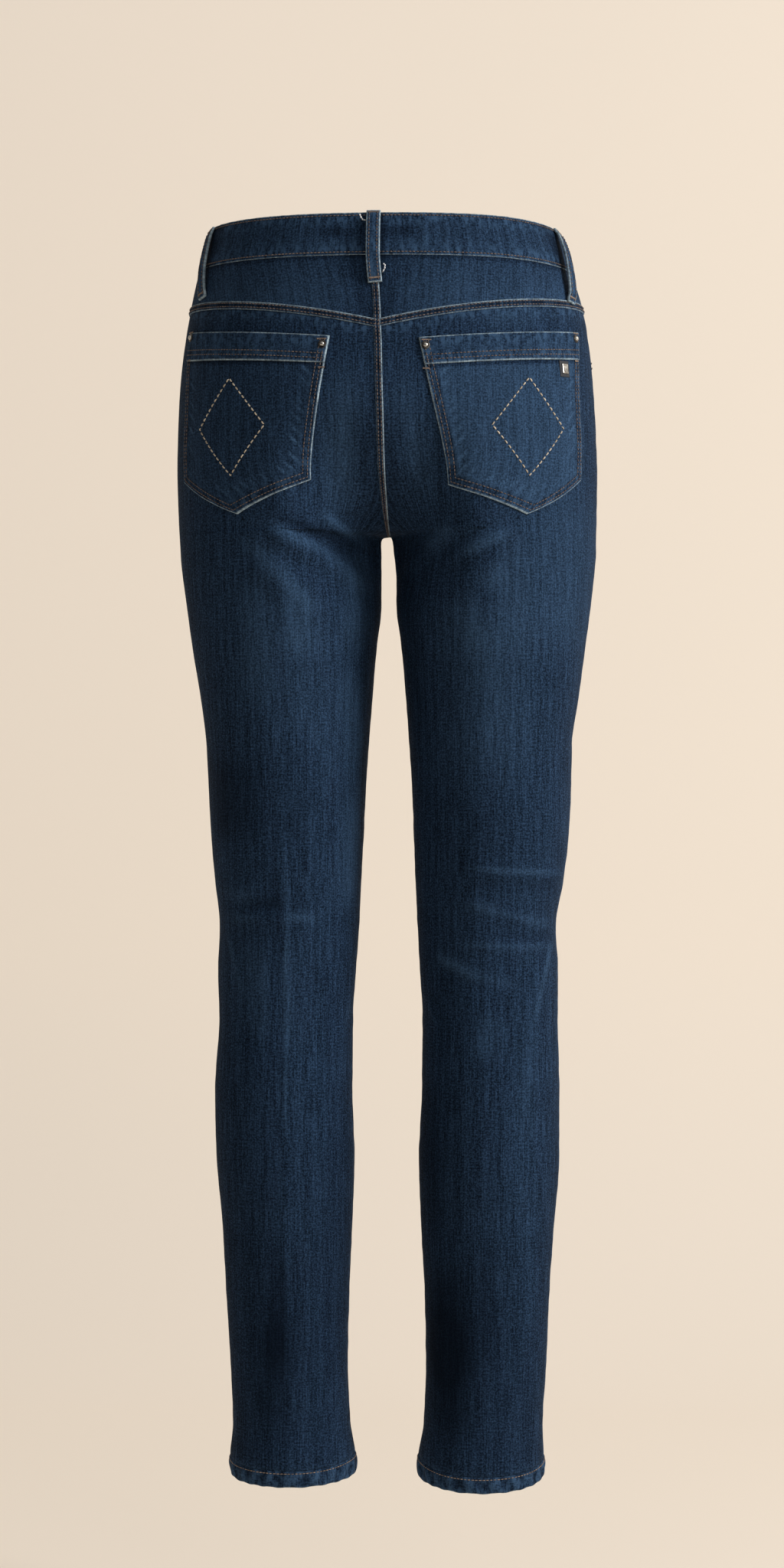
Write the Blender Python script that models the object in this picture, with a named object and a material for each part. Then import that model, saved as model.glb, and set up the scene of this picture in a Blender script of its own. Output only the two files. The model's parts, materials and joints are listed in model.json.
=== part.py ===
"""Skinny jeans, worn on a general figure: one closed solid for each piece that is cut or sewn on.

Frame: metres, +Z up, the seat faces +Y and the fly faces -Y, +X is the wearer's left. The origin is the
middle of the waist opening at half the waistband's height, where the wearer holds the jeans up.

A point of the cloth has two coordinates. "round" goes from 0 at the outseam to 1 at the centre back (or the
inseam) and to -1 at the centre front (or the inseam). "z" is the height. Every piece is a grid of such
points, with a second grid one cloth thickness further in and a rim between the two.
"""

import bpy
import numpy as np

MM = 0.001

# Driving sizes, in millimetres
BAND_HEIGHT = 34.0
CROTCH_DROP = 232.0
SEAT_RISE = 112.0
FRONT_RISE = 80.0
CROTCH_ARCH = 9.0
HEM_DROP = 982.0
HEM_HEIGHT = 13.0
MOUTH_DEPTH = 66.0
FLY_LENGTH = 138.0
SEAM_GAP = 0.3

# Thicknesses, and how far the outer face of a piece stands out from the body's surface, in millimetres
CLOTH_WALL = 1.5
BAND_WALL, BAND_LIFT = 2.6, 0.6
YOKE_WALL, YOKE_LIFT = 1.7, 0.2
FACING_WALL, FACING_LIFT = 1.2, -0.6
HEM_WALL, HEM_LIFT = 2.4, 0.5
POCKET_WALL, POCKET_LIFT = 1.2, 1.95
POCKET_BAND_WALL, POCKET_BAND_LIFT = 1.7, 2.55
FLY_WALL, FLY_LIFT = 0.9, 1.65
RIVET_LIFT, PLATE_LIFT, BUTTON_LIFT = 2.85, 2.3, 1.3

# Each row is one section of the jeans, in millimetres: how far it lies below the waist line, where the
# middle lies, the half widths of the left and right side, half the gap between the legs, how far the back
# and the front reach, and where the side seam lies between them.
COLUMNS = ("drop", "middle", "left", "right", "gap", "back", "front", "side")
SECTIONS = (
    (-30.0, 0.0, 133.5, 136.0, 5.5, 100.0, -104.0, 0.0),
    (-17.5, 0.0, 136.5, 138.5, 5.5, 103.0, -107.0, 0.0),
    (17.5, 0.0, 147.0, 150.0, 5.5, 109.0, -112.0, 0.0),
    (46.0, -2.0, 155.6, 156.8, 5.5, 114.0, -115.0, 0.0),
    (71.0, -3.0, 161.0, 161.0, 5.5, 119.0, -116.0, 1.0),
    (108.0, -3.0, 165.4, 165.2, 5.5, 126.0, -115.0, 2.0),
    (144.0, -3.5, 167.6, 167.0, 5.5, 130.0, -112.0, 4.0),
    (181.0, -4.0, 168.6, 167.8, 5.5, 128.0, -109.0, 6.0),
    (218.0, -4.7, 168.0, 166.6, 5.5, 121.0, -106.0, 8.0),
    (250.0, -5.2, 166.7, 165.4, 5.6, 112.0, -102.0, 8.0),
    (286.0, -5.1, 162.3, 161.8, 6.1, 102.0, -97.0, 7.0),
    (323.0, -5.1, 157.4, 156.9, 10.4, 93.0, -92.0, 5.0),
    (360.0, -5.1, 151.4, 152.0, 13.5, 85.0, -84.0, 4.0),
    (397.0, -4.9, 146.7, 146.8, 16.3, 80.0, -80.0, 3.0),
    (434.0, -4.8, 144.8, 146.1, 18.7, 76.0, -76.0, 2.0),
    (470.0, -4.6, 142.7, 144.5, 20.2, 72.0, -71.0, 2.0),
    (507.0, -4.3, 139.3, 140.5, 21.9, 67.0, -65.0, 2.0),
    (544.0, -4.3, 135.6, 134.4, 23.6, 62.0, -60.0, 2.0),
    (581.0, -4.0, 136.6, 136.5, 25.9, 60.0, -56.0, 3.0),
    (617.0, -4.0, 135.3, 136.3, 28.0, 61.0, -53.0, 5.0),
    (673.0, -3.7, 138.1, 138.0, 28.0, 65.0, -51.0, 8.0),
    (728.0, -3.4, 136.5, 138.2, 25.9, 66.0, -48.0, 9.0),
    (783.0, -3.4, 131.7, 134.0, 27.7, 62.0, -45.0, 9.0),
    (838.0, -3.6, 129.0, 130.0, 30.3, 58.0, -43.0, 8.0),
    (894.0, -3.4, 125.5, 127.8, 31.4, 56.0, -43.0, 7.0),
    (943.0, -3.4, 123.7, 124.9, 29.3, 55.0, -43.0, 6.0),
    (967.0, -3.3, 125.6, 125.6, 25.6, 57.0, -45.0, 6.0),
    (982.0, -3.2, 124.7, 125.6, 25.2, 56.5, -44.5, 6.0),
    (1000.0, -3.2, 124.7, 125.6, 25.2, 56.0, -44.0, 6.0),
)
TABLE = dict(zip(COLUMNS, np.array(SECTIONS).T))

# Superellipse powers of a leg's and of the body's section
LEG_POWER = 2.12
BODY_POWER = 2.35
BODY_ROOT = 2.1
LEG_FROM_TO = (140.0, 380.0)

# The largest folds, under the seat, behind the knees and at the front of the hips. Each row is one fold, in
# millimetres: the side (1 left, -1 right), how far one end lies from the middle and below the waist line,
# the same for the other end, half its width, and its height, which is negative in a trough.
BACK_FOLDS = (
    (1, 26.0, 264.0, 85.0, 228.0, 7.5, 2.6),
    (1, 55.0, 287.0, 105.0, 236.0, 9.0, 1.8),
    (1, 14.0, 252.0, 72.0, 230.0, 6.0, -1.6),
    (-1, 8.0, 253.0, 48.0, 237.0, 8.0, 2.2),
    (-1, 46.0, 266.0, 84.0, 243.0, 9.0, 1.6),
    (-1, 66.0, 497.0, 132.0, 500.0, 9.0, 1.3),
    (-1, 72.0, 559.0, 126.0, 558.0, 9.0, 1.3),
    (1, 84.0, 528.0, 128.0, 536.0, 9.0, 1.3),
)
FRONT_FOLDS = (
    (1, 20.0, 205.0, 96.0, 176.0, 12.0, 2.4),
    (-1, 20.0, 203.0, 100.0, 172.0, 12.0, 2.4),
    (1, 44.0, 556.0, 118.0, 566.0, 11.0, 2.0),
    (-1, 40.0, 564.0, 112.0, 552.0, 11.0, 2.0),
)

# Back pockets: the corners as distance from the centre-back seam along the cloth and depth below the
# waist line, in millimetres: inner top, outer top, outer low, tip, inner low.
POCKETS = {
    "left": ((36.0, 84.0), (183.0, 72.0), (182.0, 192.0), (131.0, 220.0), (55.5, 194.0)),
    "right": ((32.7, 86.0), (182.5, 74.0), (179.0, 192.0), (135.0, 221.0), (57.5, 198.5)),
}
POCKET_BAND = 21.5

# Rivets and the small plate, as distance from the centre-back seam and depth below the waist line
RIVETS = {
    "left": (("inner", 41.5, 91.0), ("outer", 175.5, 77.0)),
    "right": (("inner", 38.0, 92.5), ("outer", 176.0, 80.0)),
}
PLATE_AT = (160.0, 107.0)

# How far the waistband lies below its level line at the outseam, the centre back and the centre front, and
# how much lower than the outseam the hem hangs behind, for the left and the right side
BAND_DIP = {1: (0.0, 3.2, 14.0), -1: (2.5, 3.2, 14.0)}
HEM_TILT = {1: 4.0, -1: 7.0}

# Belt loops: width and thickness of the strip, how deep its ends lie in the outward direction, then for
# each loop its length and how far its middle stands off
LOOP_WIDTH, LOOP_WALL, LOOP_FOOT = 11.0, 2.0, 1.1
SIDE_LOOP = {1: (58.5, 4.2), -1: (61.0, 4.8)}
FRONT_LOOP = (52.0, 4.6)
BACK_LOOP = (57.0, 5.0)
SIDE_LOOP_FROM_CENTRE = {1: 163.0, -1: 173.0}

# Places round the body: the ends of the front pocket's mouth, the front loops, the back loop, the fly's
# width and the button
MOUTH_END = 0.6
FRONT_LOOP_AT = -0.62
BACK_LOOP_AT = 0.992
FLY_WIDTH = 0.15
BUTTON_AT = -0.97

# Columns and rows above the crotch of a back and a front panel, and the depths of the rows below it, which
# lie close together where the folds are
BACK_GRID = (13, 13)
FRONT_GRID = (11, 9)
ROWS_UNDER_SEAT = (240.0, 250.0, 260.0, 270.0, 281.0, 294.0)
ROWS_ON_THIGH = np.linspace(314.0, 505.0, 8)
ROWS_ON_KNEE = (522.0, 536.0, 549.0, 562.0, 578.0)
ROWS_ON_CALF = np.linspace(602.0, 940.0, 14)
LEG_ROWS = np.concatenate([ROWS_UNDER_SEAT, ROWS_ON_THIGH, ROWS_ON_KNEE, ROWS_ON_CALF])

NAVY = (0.020, 0.040, 0.085, 1.0)
DEEP_NAVY = (0.014, 0.028, 0.062, 1.0)
WORN_NAVY = (0.035, 0.065, 0.125, 1.0)
STEEL = (0.72, 0.70, 0.66, 1.0)


def clear_scene():
    for obj in list(bpy.data.objects):
        bpy.data.objects.remove(obj, do_unlink=True)


def through(xs, ys, x):
    """Smooth curve through the points (xs, ys) that never overshoots them: cubic Hermite pieces whose slope
    at a point is the harmonic mean of the slopes of the two chords beside it, or 0 where they turn back."""
    xs = np.asarray(xs, float)
    ys = np.asarray(ys, float)
    x = np.clip(x, xs[0], xs[-1])
    chord = np.diff(ys) / np.diff(xs)
    product = chord[1:] * chord[:-1]
    total = np.where(product > 0, chord[1:] + chord[:-1], 1.0)
    slope = np.concatenate([[0.0], np.where(product > 0, 2 * product / total, 0.0), [0.0]])
    i = np.clip(np.searchsorted(xs, x, side="right") - 1, 0, len(xs) - 2)
    span = xs[i + 1] - xs[i]
    t = (x - xs[i]) / span
    return (
        (2 * t**3 - 3 * t**2 + 1) * ys[i]
        + (t**3 - 2 * t**2 + t) * span * slope[i]
        + (3 * t**2 - 2 * t**3) * ys[i + 1]
        + (t**3 - t**2) * span * slope[i + 1]
    )


def size_at(column, z):
    """A section size in metres at height z in metres."""
    return through(TABLE["drop"], TABLE[column], -z / MM) * MM


def smooth_step(low, high, x):
    t = np.clip((x - low) / (high - low), 0.0, 1.0)
    return t * t * (3.0 - 2.0 * t)


def heights():
    """Levels of the lookup table: close together near the crotch, where the seat and the legs meet."""
    turn = np.linspace(0.0, np.pi / 2, 33)
    above = -CROTCH_DROP + SEAT_RISE * (1.0 - np.cos(turn))
    below = -CROTCH_DROP - CROTCH_ARCH * (1.0 - np.cos(np.linspace(0.0, np.pi / 2, 9)[1:]))
    top = np.linspace(above[-1], 30.0, 60)[1:]
    legs = np.linspace(below[-1], -1000.0, 260)[1:]
    return np.concatenate([legs[::-1], below[::-1], above, top]) * MM


def half_section(side, level):
    """One side's section at each level: x from the inner end to the outer end, y of back and front.

    y is the side seam's place plus the reach times a profile, which is a product of two curves of the
    share x across. The outer curve closes the section at the side seam: it turns from the body's half oval
    into the outer half of a leg's superellipse on the way down. The inner curve closes a leg at the inseam,
    and above the crotch it opens: at the middle it rises as the quarter circle sqrt(1 - (1 - t)^2), t being
    the share of the rise, so the seat seam runs under the body as a U, and further out it rises gently.
    """
    turn = np.linspace(0.0, np.pi, 181)[None, :]
    across = 0.5 + 0.5 * np.cos(turn)
    z = level[:, None]
    drop = -z / MM
    outer = size_at("left" if side > 0 else "right", z)
    below = np.clip((drop - CROTCH_DROP) / CROTCH_ARCH, 0.0, 1.0)
    inner = size_at("gap", z) * np.sqrt(1.0 - (1.0 - below) ** 2)
    x = inner + (outer - inner) * across
    leg = (1.0 - np.clip(2 * across - 1, 0, 1) ** LEG_POWER) ** (1 / LEG_POWER)
    body = (1.0 - across**BODY_POWER) ** (1.0 / BODY_ROOT)
    is_leg = smooth_step(*LEG_FROM_TO, drop)
    outer_curve = leg * is_leg + body * (1.0 - is_leg)
    soft = 0.5 + 0.5 * smooth_step(CROTCH_DROP + 70.0, CROTCH_DROP, drop)
    closing = np.sin(np.pi * np.clip(across, 0.0, 0.5)) ** soft
    away = smooth_step(0.0, 0.42, across)
    found = []
    for column, rise in (("back", SEAT_RISE), ("front", FRONT_RISE)):
        share = np.clip((CROTCH_DROP - drop) / rise, 0.0, 1.0)
        opening = np.sqrt(1.0 - (1.0 - share) ** 2) * (1 - away) + smooth_step(0.0, 1.0, share) * away
        profile = outer_curve * (closing + (1.0 - closing) * opening)
        seam = size_at("side", z)
        y = seam + (size_at(column, z) - seam) * profile
        xs = size_at("middle", z) + side * x
        found.append(np.stack([xs, y + 0 * xs, z + 0 * xs], axis=-1))
    return found


class Side:
    """The cloth's surface on one side of the body, as a lookup table of points."""

    ROUND = np.linspace(-1.3, 1.3, 417)

    def __init__(self, side):
        self.side = side
        self.level = heights()
        halves = half_section(side, self.level)
        self.length = []
        rows = []
        for points in halves:
            steps = np.linalg.norm(np.diff(points, axis=1), axis=2)
            along = np.concatenate([np.zeros((len(points), 1)), np.cumsum(steps, axis=1)], axis=1)
            self.length.append(along[:, -1])
            rows.append((points, along / along[:, -1:]))
        self.table = np.array([self.closed_row(rows, k) for k in range(len(self.level))])

    def closed_row(self, rows, k):
        """Row k of the table. Past the inner end it goes on round the leg, or on the body's other side."""
        around = self.ROUND
        back_share = self.length[0][k] / self.length[1][k]
        is_leg = self.level[k] < -CROTCH_DROP * MM - 1e-9

        def read(half, share):
            points, along = rows[half][0][k], rows[half][1][k]
            return np.stack([np.interp(share, along, points[:, n]) for n in range(3)], axis=-1)

        over_back, over_front = around > 1, around < -1
        back = read(0, np.where(over_back, 2 - around, around).clip(0, 1))
        front = read(1, np.where(over_front, 2 + around, -around).clip(0, 1))
        if is_leg:
            on_front = read(1, (1 - (around - 1) * back_share).clip(0, 1))
            on_back = read(0, (1 - (-around - 1) / back_share).clip(0, 1))
        else:
            middle = size_at("middle", self.level[k])
            on_front, on_back = back.copy(), front.copy()
            on_front[:, 0] = 2 * middle - on_front[:, 0]
            on_back[:, 0] = 2 * middle - on_back[:, 0]
        row = np.where((around >= 0)[:, None], back, front)
        row = np.where(over_back[:, None], on_front, row)
        return np.where(over_front[:, None], on_back, row)

    def smooth(self, round_, z):
        """Points of the cloth without folds, read from the table between its nearest four entries."""
        round_, z = np.broadcast_arrays(np.asarray(round_, float), np.asarray(z, float))
        row = np.interp(z, self.level, np.arange(len(self.level)))
        column = (round_ - self.ROUND[0]) / (self.ROUND[1] - self.ROUND[0])
        r0 = np.clip(row.astype(int), 0, len(self.level) - 2)
        c0 = np.clip(column.astype(int), 0, len(self.ROUND) - 2)
        fr, fc = (row - r0)[..., None], (column - c0)[..., None]
        table = self.table
        return (
            table[r0, c0] * (1 - fr) * (1 - fc)
            + table[r0 + 1, c0] * fr * (1 - fc)
            + table[r0, c0 + 1] * (1 - fr) * fc
            + table[r0 + 1, c0 + 1] * fr * fc
        )

    def back_length(self, z):
        """Distance along the cloth from the outseam to the centre back or the inseam."""
        return np.interp(z, self.level, self.length[0])

    def from_centre(self, distance, z):
        """The round coordinate that lies this far, in metres, from the centre-back seam."""
        return 1.0 - distance / self.back_length(z)

    def normal(self, round_, z):
        """Outward direction at a point, from the cloth's slopes round the body and up it."""
        rise = 4.0 * MM
        down = self.smooth(round_, z - rise) - self.smooth(round_, z + rise)
        return outward(self, round_, z, down)


def outward(surface, round_, z, down):
    """Unit vectors across the slope round the body and the given slope down it."""
    step = 0.02
    around = surface.smooth(round_ + step, z) - surface.smooth(round_ - step, z)
    across = np.cross(down, around) * surface.side
    return across / np.maximum(np.linalg.norm(across, axis=-1, keepdims=True), 1e-12)


def fold_height(side, points):
    """Ridges: each is a smooth hump across its line, fading out towards both ends."""
    total = np.zeros(points.shape[:-1])
    reach = side * (points[..., 0] - size_at("middle", points[..., 2])) / MM
    drop = -points[..., 2] / MM
    seam = size_at("side", points[..., 2]) / MM
    back = smooth_step(4.0, 30.0, points[..., 1] / MM - seam)
    front = smooth_step(4.0, 30.0, seam - points[..., 1] / MM)
    for folds, facing in ((BACK_FOLDS, back), (FRONT_FOLDS, front)):
        for which, x0, d0, x1, d1, half, height in folds:
            if which != side:
                continue
            length = np.hypot(x1 - x0, d1 - d0)
            along = ((reach - x0) * (x1 - x0) + (drop - d0) * (d1 - d0)) / length**2
            off = ((reach - x0) * (d1 - d0) - (drop - d0) * (x1 - x0)) / length
            fade = smooth_step(-0.15, 0.25, along) * smooth_step(1.15, 0.7, along)
            total += facing * fade * height * np.exp(-((off / half) ** 2))
    return total * MM


def draw_in(points, gap):
    """Moves the grid's four edges towards its middle by half the seam gap, along the cloth."""
    points = points.copy()
    for edge, inner in (
        ((slice(None), 0), (slice(None), 1)),
        ((slice(None), -1), (slice(None), -2)),
        ((0, slice(None)), (1, slice(None))),
        ((-1, slice(None)), (-2, slice(None))),
    ):
        step = points[inner] - points[edge]
        points[edge] += step / np.linalg.norm(step, axis=-1, keepdims=True) * gap / 2
    return points


def solid(name, outer, inner, material, closed=False):
    """A closed solid between two grids of points, outer and inner, joined by a rim. With closed, the
    first and the last column are the same, as on a ring."""
    rows, columns = outer.shape[:2]
    number = np.arange(rows * columns).reshape(rows, columns)
    if closed:
        number = np.concatenate([number, number[:, :1]], axis=1)
    a, b, c, d = number[:-1, :-1], number[:-1, 1:], number[1:, 1:], number[1:, :-1]
    quads = [np.stack([a, d, c, b], axis=-1).reshape(-1, 4)]
    shift = rows * columns
    quads.append(np.stack([a, b, c, d], axis=-1).reshape(-1, 4) + shift)
    rims = [number[0], number[-1][::-1]]
    if not closed:
        rims += [number[::-1, 0], number[:, -1]]
    for rim in rims:
        quads.append(np.stack([rim[:-1], rim[1:], rim[1:] + shift, rim[:-1] + shift], axis=-1))
    faces = np.concatenate(quads)
    verts = np.concatenate([outer.reshape(-1, 3), inner.reshape(-1, 3)])
    corner = verts[faces]
    volume = np.einsum("ij,ij->i", corner[:, 0], np.cross(corner[:, 1], corner[:, 2])).sum()
    volume += np.einsum("ij,ij->i", corner[:, 0], np.cross(corner[:, 2], corner[:, 3])).sum()
    if volume < 0:
        faces = faces[:, ::-1]
    mesh = bpy.data.meshes.new(name)
    mesh.from_pydata(verts.tolist(), [], faces.tolist())
    mesh.materials.append(material)
    mesh.shade_smooth()
    obj = bpy.data.objects.new(name, mesh)
    bpy.context.scene.collection.objects.link(obj)
    return obj


def material(name, colour, roughness, metallic=0.0):
    made = bpy.data.materials.new(name)
    made.use_nodes = True
    shader = made.node_tree.nodes["Principled BSDF"]
    shader.inputs["Base Color"].default_value = colour
    shader.inputs["Roughness"].default_value = roughness
    shader.inputs["Metallic"].default_value = metallic
    return made


def band_shift(side, round_):
    """The height of the waistband's middle line, which dips at the centre back and more at the front."""
    at_side, at_back, at_front = BAND_DIP[side]
    end = np.where(np.asarray(round_) > 0, at_back, at_front)
    return -(at_side + (end - at_side) * smooth_step(0.0, 1.0, np.abs(round_))) * MM


def band_top(side, round_):
    return band_shift(side, round_) + BAND_HEIGHT / 2 * MM


def band_bottom(side, round_):
    return band_shift(side, round_) - BAND_HEIGHT / 2 * MM


def yoke_seam(side, round_):
    """The yoke's lower edge, which dips to a V at the centre back."""
    return -(54.5 + 23.0 * np.abs(round_) ** 2.2) * MM


def pocket_mouth(side, round_):
    """The front pocket's curved mouth, from the waistband at mid front to the side seam below it."""
    share = np.clip(np.abs(round_) / MOUTH_END, 0.0, 1.0)
    end = 1.5 * smooth_step(MOUTH_END + 0.1, MOUTH_END, np.abs(round_))
    return band_bottom(side, round_) - (MOUTH_DEPTH * (1.0 - share**2.6) ** 0.5 + end) * MM


def hem_bottom(side, round_):
    """The hem's lower edge hangs a little lower behind."""
    return -(HEM_DROP + HEM_TILT[side] * np.sin(np.pi * np.asarray(round_))) * MM


def hem_top(side, round_):
    return hem_bottom(side, round_) + HEM_HEIGHT * MM


def seam_spacing(surface, round_, start, count):
    """Heights from start down to the crotch whose points are evenly spaced along the centre seam."""
    z = np.linspace(start, -CROTCH_DROP * MM, 400)
    dense = surface.level[surface.level > -CROTCH_DROP * MM]
    z = np.unique(np.concatenate([z, dense[dense < start]]))[::-1]
    points = surface.smooth(np.full_like(z, round_), z)
    along = np.concatenate([[0], np.cumsum(np.linalg.norm(np.diff(points, axis=0), axis=1))])
    return np.interp(np.linspace(0, along[-1], count + 1), along, z)


def panel(name, surface, inner_end, top, grid, cloth):
    """A leg panel from its top edge to the hem, from the outseam to inner_end, 1 on a back and -1 on a
    front. Its rows lie level at the side seam, and near the middle they follow the seat or front seam down
    and under to the crotch, where the inseam starts."""
    side = surface.side
    columns, rows_above = grid
    rounds = np.linspace(0.0, inner_end, columns)
    crotch = -CROTCH_DROP * MM
    start = float(top(side, inner_end))
    seam = seam_spacing(surface, inner_end, start, rows_above)
    seam_share = (seam[:, None] - start) / (crotch - start)
    side_share = np.linspace(0.0, 1.0, rows_above + 1)[:, None]
    lean = np.abs(rounds) ** 3
    share = side_share * (1 - lean) + seam_share * lean
    edge = top(side, rounds)
    above = edge + (crotch - edge) * share
    level = -LEG_ROWS[:, None] * MM + 0 * rounds
    bottom = hem_top(side, rounds)[None]
    z = np.concatenate([above, level, (level[-1:] + bottom) / 2, bottom])
    beyond = np.concatenate([2 * z[:1] - z[1:2], z, 2 * z[-1:] - z[-2:-1]])
    column = surface.smooth(rounds + 0 * beyond, beyond)
    down = column[2:] - column[:-2]
    normals = outward(surface, rounds, z, down)
    normals[rows_above, -1] = (0.0, 0.0, -1.0)
    flat = column[1:-1]
    outer = flat + normals * fold_height(side, flat)[..., None]
    outer = draw_in(outer, SEAM_GAP * MM)
    inner = outer - normals * CLOTH_WALL * MM
    return solid(name, outer, inner, cloth)


def patch(name, surface, rounds, z, cloth, lift, wall, gap=SEAM_GAP):
    """A piece of cloth on the body: a grid of (round, z) moved out by lift, with the wall inside it."""
    flat = surface.smooth(rounds, z)
    normals = surface.normal(rounds, z)
    outer = flat + normals * (fold_height(surface.side, flat)[..., None] + lift * MM)
    if gap:
        outer = draw_in(outer, gap * MM)
    return solid(name, outer, outer - normals * wall * MM, cloth)


def yoke(name, surface, cloth):
    rounds = np.linspace(0.0, 1.0, 12)[None, :]
    share = np.linspace(0.0, 1.0, 4)[:, None]
    side = surface.side
    z = band_bottom(side, rounds) * (1 - share) + yoke_seam(side, rounds) * share
    return patch(name, surface, rounds + 0 * z, z, cloth, YOKE_LIFT, YOKE_WALL)


def pocket_facing(name, surface, cloth):
    """The hip piece that shows above the front pocket's mouth, set back behind the front panel's edge."""
    rounds = -np.linspace(0.0, MOUTH_END, 7)[None, :]
    share = np.linspace(0.0, 1.0, 4)[:, None]
    side = surface.side
    z = band_bottom(side, rounds) * (1 - share) + pocket_mouth(side, rounds) * share
    return patch(name, surface, rounds + 0 * z, z, cloth, FACING_LIFT, FACING_WALL)


def waistband(left, right, cloth):
    """One strip round the waist whose two ends meet at the centre front under the button."""
    around = np.linspace(-1.0, 1.0, 29)
    rows = np.linspace(0.0, 1.0, 4)[:, None]
    parts = []
    for surface, rounds in ((left, around), (right, around[::-1])):
        top, bottom = band_top(surface.side, rounds), band_bottom(surface.side, rounds)
        z = top[None] * (1 - rows) + bottom[None] * rows
        across = rounds[None] + 0 * z
        flat = surface.smooth(across, z)
        normals = surface.normal(across, z)
        parts.append((flat, normals))
    flat = np.concatenate([parts[0][0], parts[1][0][:, 1:]], axis=1)
    normals = np.concatenate([parts[0][1], parts[1][1][:, 1:]], axis=1)
    outer = draw_in(flat + normals * BAND_LIFT * MM, SEAM_GAP * MM)
    return solid("waistband", outer, outer - normals * BAND_WALL * MM, cloth)


def hem(name, surface, cloth):
    """The turned-up hem: a ring of folded cloth at the bottom of the leg."""
    rounds = np.linspace(-1.0, 1.0, 29)[:-1][None, :]
    share = np.linspace(0.0, 1.0, 3)[:, None]
    top = hem_top(surface.side, rounds) - SEAM_GAP * MM
    z = top * (1 - share) + hem_bottom(surface.side, rounds) * share
    across = rounds + 0 * z
    flat = surface.smooth(across, z)
    normals = surface.normal(across, z)
    outer = flat + normals * HEM_LIFT * MM
    return solid(name, outer, outer - normals * HEM_WALL * MM, cloth, closed=True)


def pocket_grid(surface, corners, count_across, down_start, down_end, count_down):
    """A grid inside the pocket's outline. Its side edges are straight, and its lower edge is a V whose
    point is the tip. down is 0 at the top edge and 1 at the lower edge."""
    corners = np.array(corners) * MM
    inner_top, outer_top, outer_low, tip, inner_low = corners
    tip_share = (tip[0] - inner_low[0]) / (outer_low[0] - inner_low[0])
    across = np.linspace(0.0, 1.0, count_across + 1)
    nearest = int(np.argmin(np.abs(across - tip_share)))
    across[nearest] = tip_share
    a = across[None, :, None]
    top = inner_top * (1 - a) + outer_top * a
    first = inner_low + (tip - inner_low) * a / tip_share
    second = tip + (outer_low - tip) * (a - tip_share) / (1 - tip_share)
    low = np.where(a <= tip_share, first, second)
    t = np.linspace(down_start, down_end, count_down + 1)[:, None, None]
    place = top * (1 - t) + low * t
    z = -place[..., 1]
    return surface.from_centre(place[..., 0], z), z


def back_pocket(name, surface, corners, cloth, band_cloth):
    """The patch pocket and the turned band along its top edge."""
    depth = corners[4][1] - corners[0][1]
    share = POCKET_BAND / depth
    rounds, z = pocket_grid(surface, corners, 10, share, 1.0, 8)
    patch(f"back_pocket_{name}", surface, rounds, z, cloth, POCKET_LIFT, POCKET_WALL)
    rounds, z = pocket_grid(surface, corners, 10, 0.0, share, 2)
    patch(f"pocket_band_{name}", surface, rounds, z, band_cloth, POCKET_BAND_LIFT, POCKET_BAND_WALL)


def belt_loop(name, surface, place, top_z, size, cloth):
    """A folded strip sewn down at both ends, whose middle stands off the band. place gives its round
    coordinate at a height, and size its length and how far it stands off."""
    length, bulge = size
    share = np.linspace(0.0, 1.0, 13)
    z = top_z - share * length * MM
    round_ = place(z)
    centre = surface.smooth(round_, z)
    normal = surface.normal(round_, z)
    hump = bulge * np.clip(np.sin(np.pi * share), 0.0, 1.0) ** 0.6 * smooth_step(0.0, 0.12, share)
    hump = hump * smooth_step(1.0, 0.88, share)
    base = centre + normal * (LOOP_FOOT + hump)[:, None] * MM
    down = np.gradient(base, axis=0)
    down /= np.linalg.norm(down, axis=1, keepdims=True)
    wide = np.cross(normal, down)
    wide /= np.linalg.norm(wide, axis=1, keepdims=True)
    out = np.cross(down, wide)
    out *= np.sign(np.sum(out * normal, axis=1, keepdims=True))
    offsets = np.array([-0.5, 0.0, 0.5])[None, :, None] * LOOP_WIDTH * MM
    inner = base[:, None, :] + wide[:, None, :] * offsets
    outer = inner + out[:, None, :] * LOOP_WALL * MM
    return solid(name, outer, inner, cloth)


def loops(name, surface, cloth):
    """The belt loops of one side: one over the hip and one over the front pocket."""
    side = surface.side

    def over_hip(z):
        return surface.from_centre(SIDE_LOOP_FROM_CENTRE[side] * MM, z)

    def over_pocket(z):
        return FRONT_LOOP_AT + 0 * z

    hip_top = band_top(side, 0.1) - 0.5 * MM
    pocket_top = band_top(side, FRONT_LOOP_AT) - 0.5 * MM
    belt_loop(f"belt_loop_side_{name}", surface, over_hip, hip_top, SIDE_LOOP[side], cloth)
    belt_loop(f"belt_loop_front_{name}", surface, over_pocket, pocket_top, FRONT_LOOP, cloth)


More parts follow.
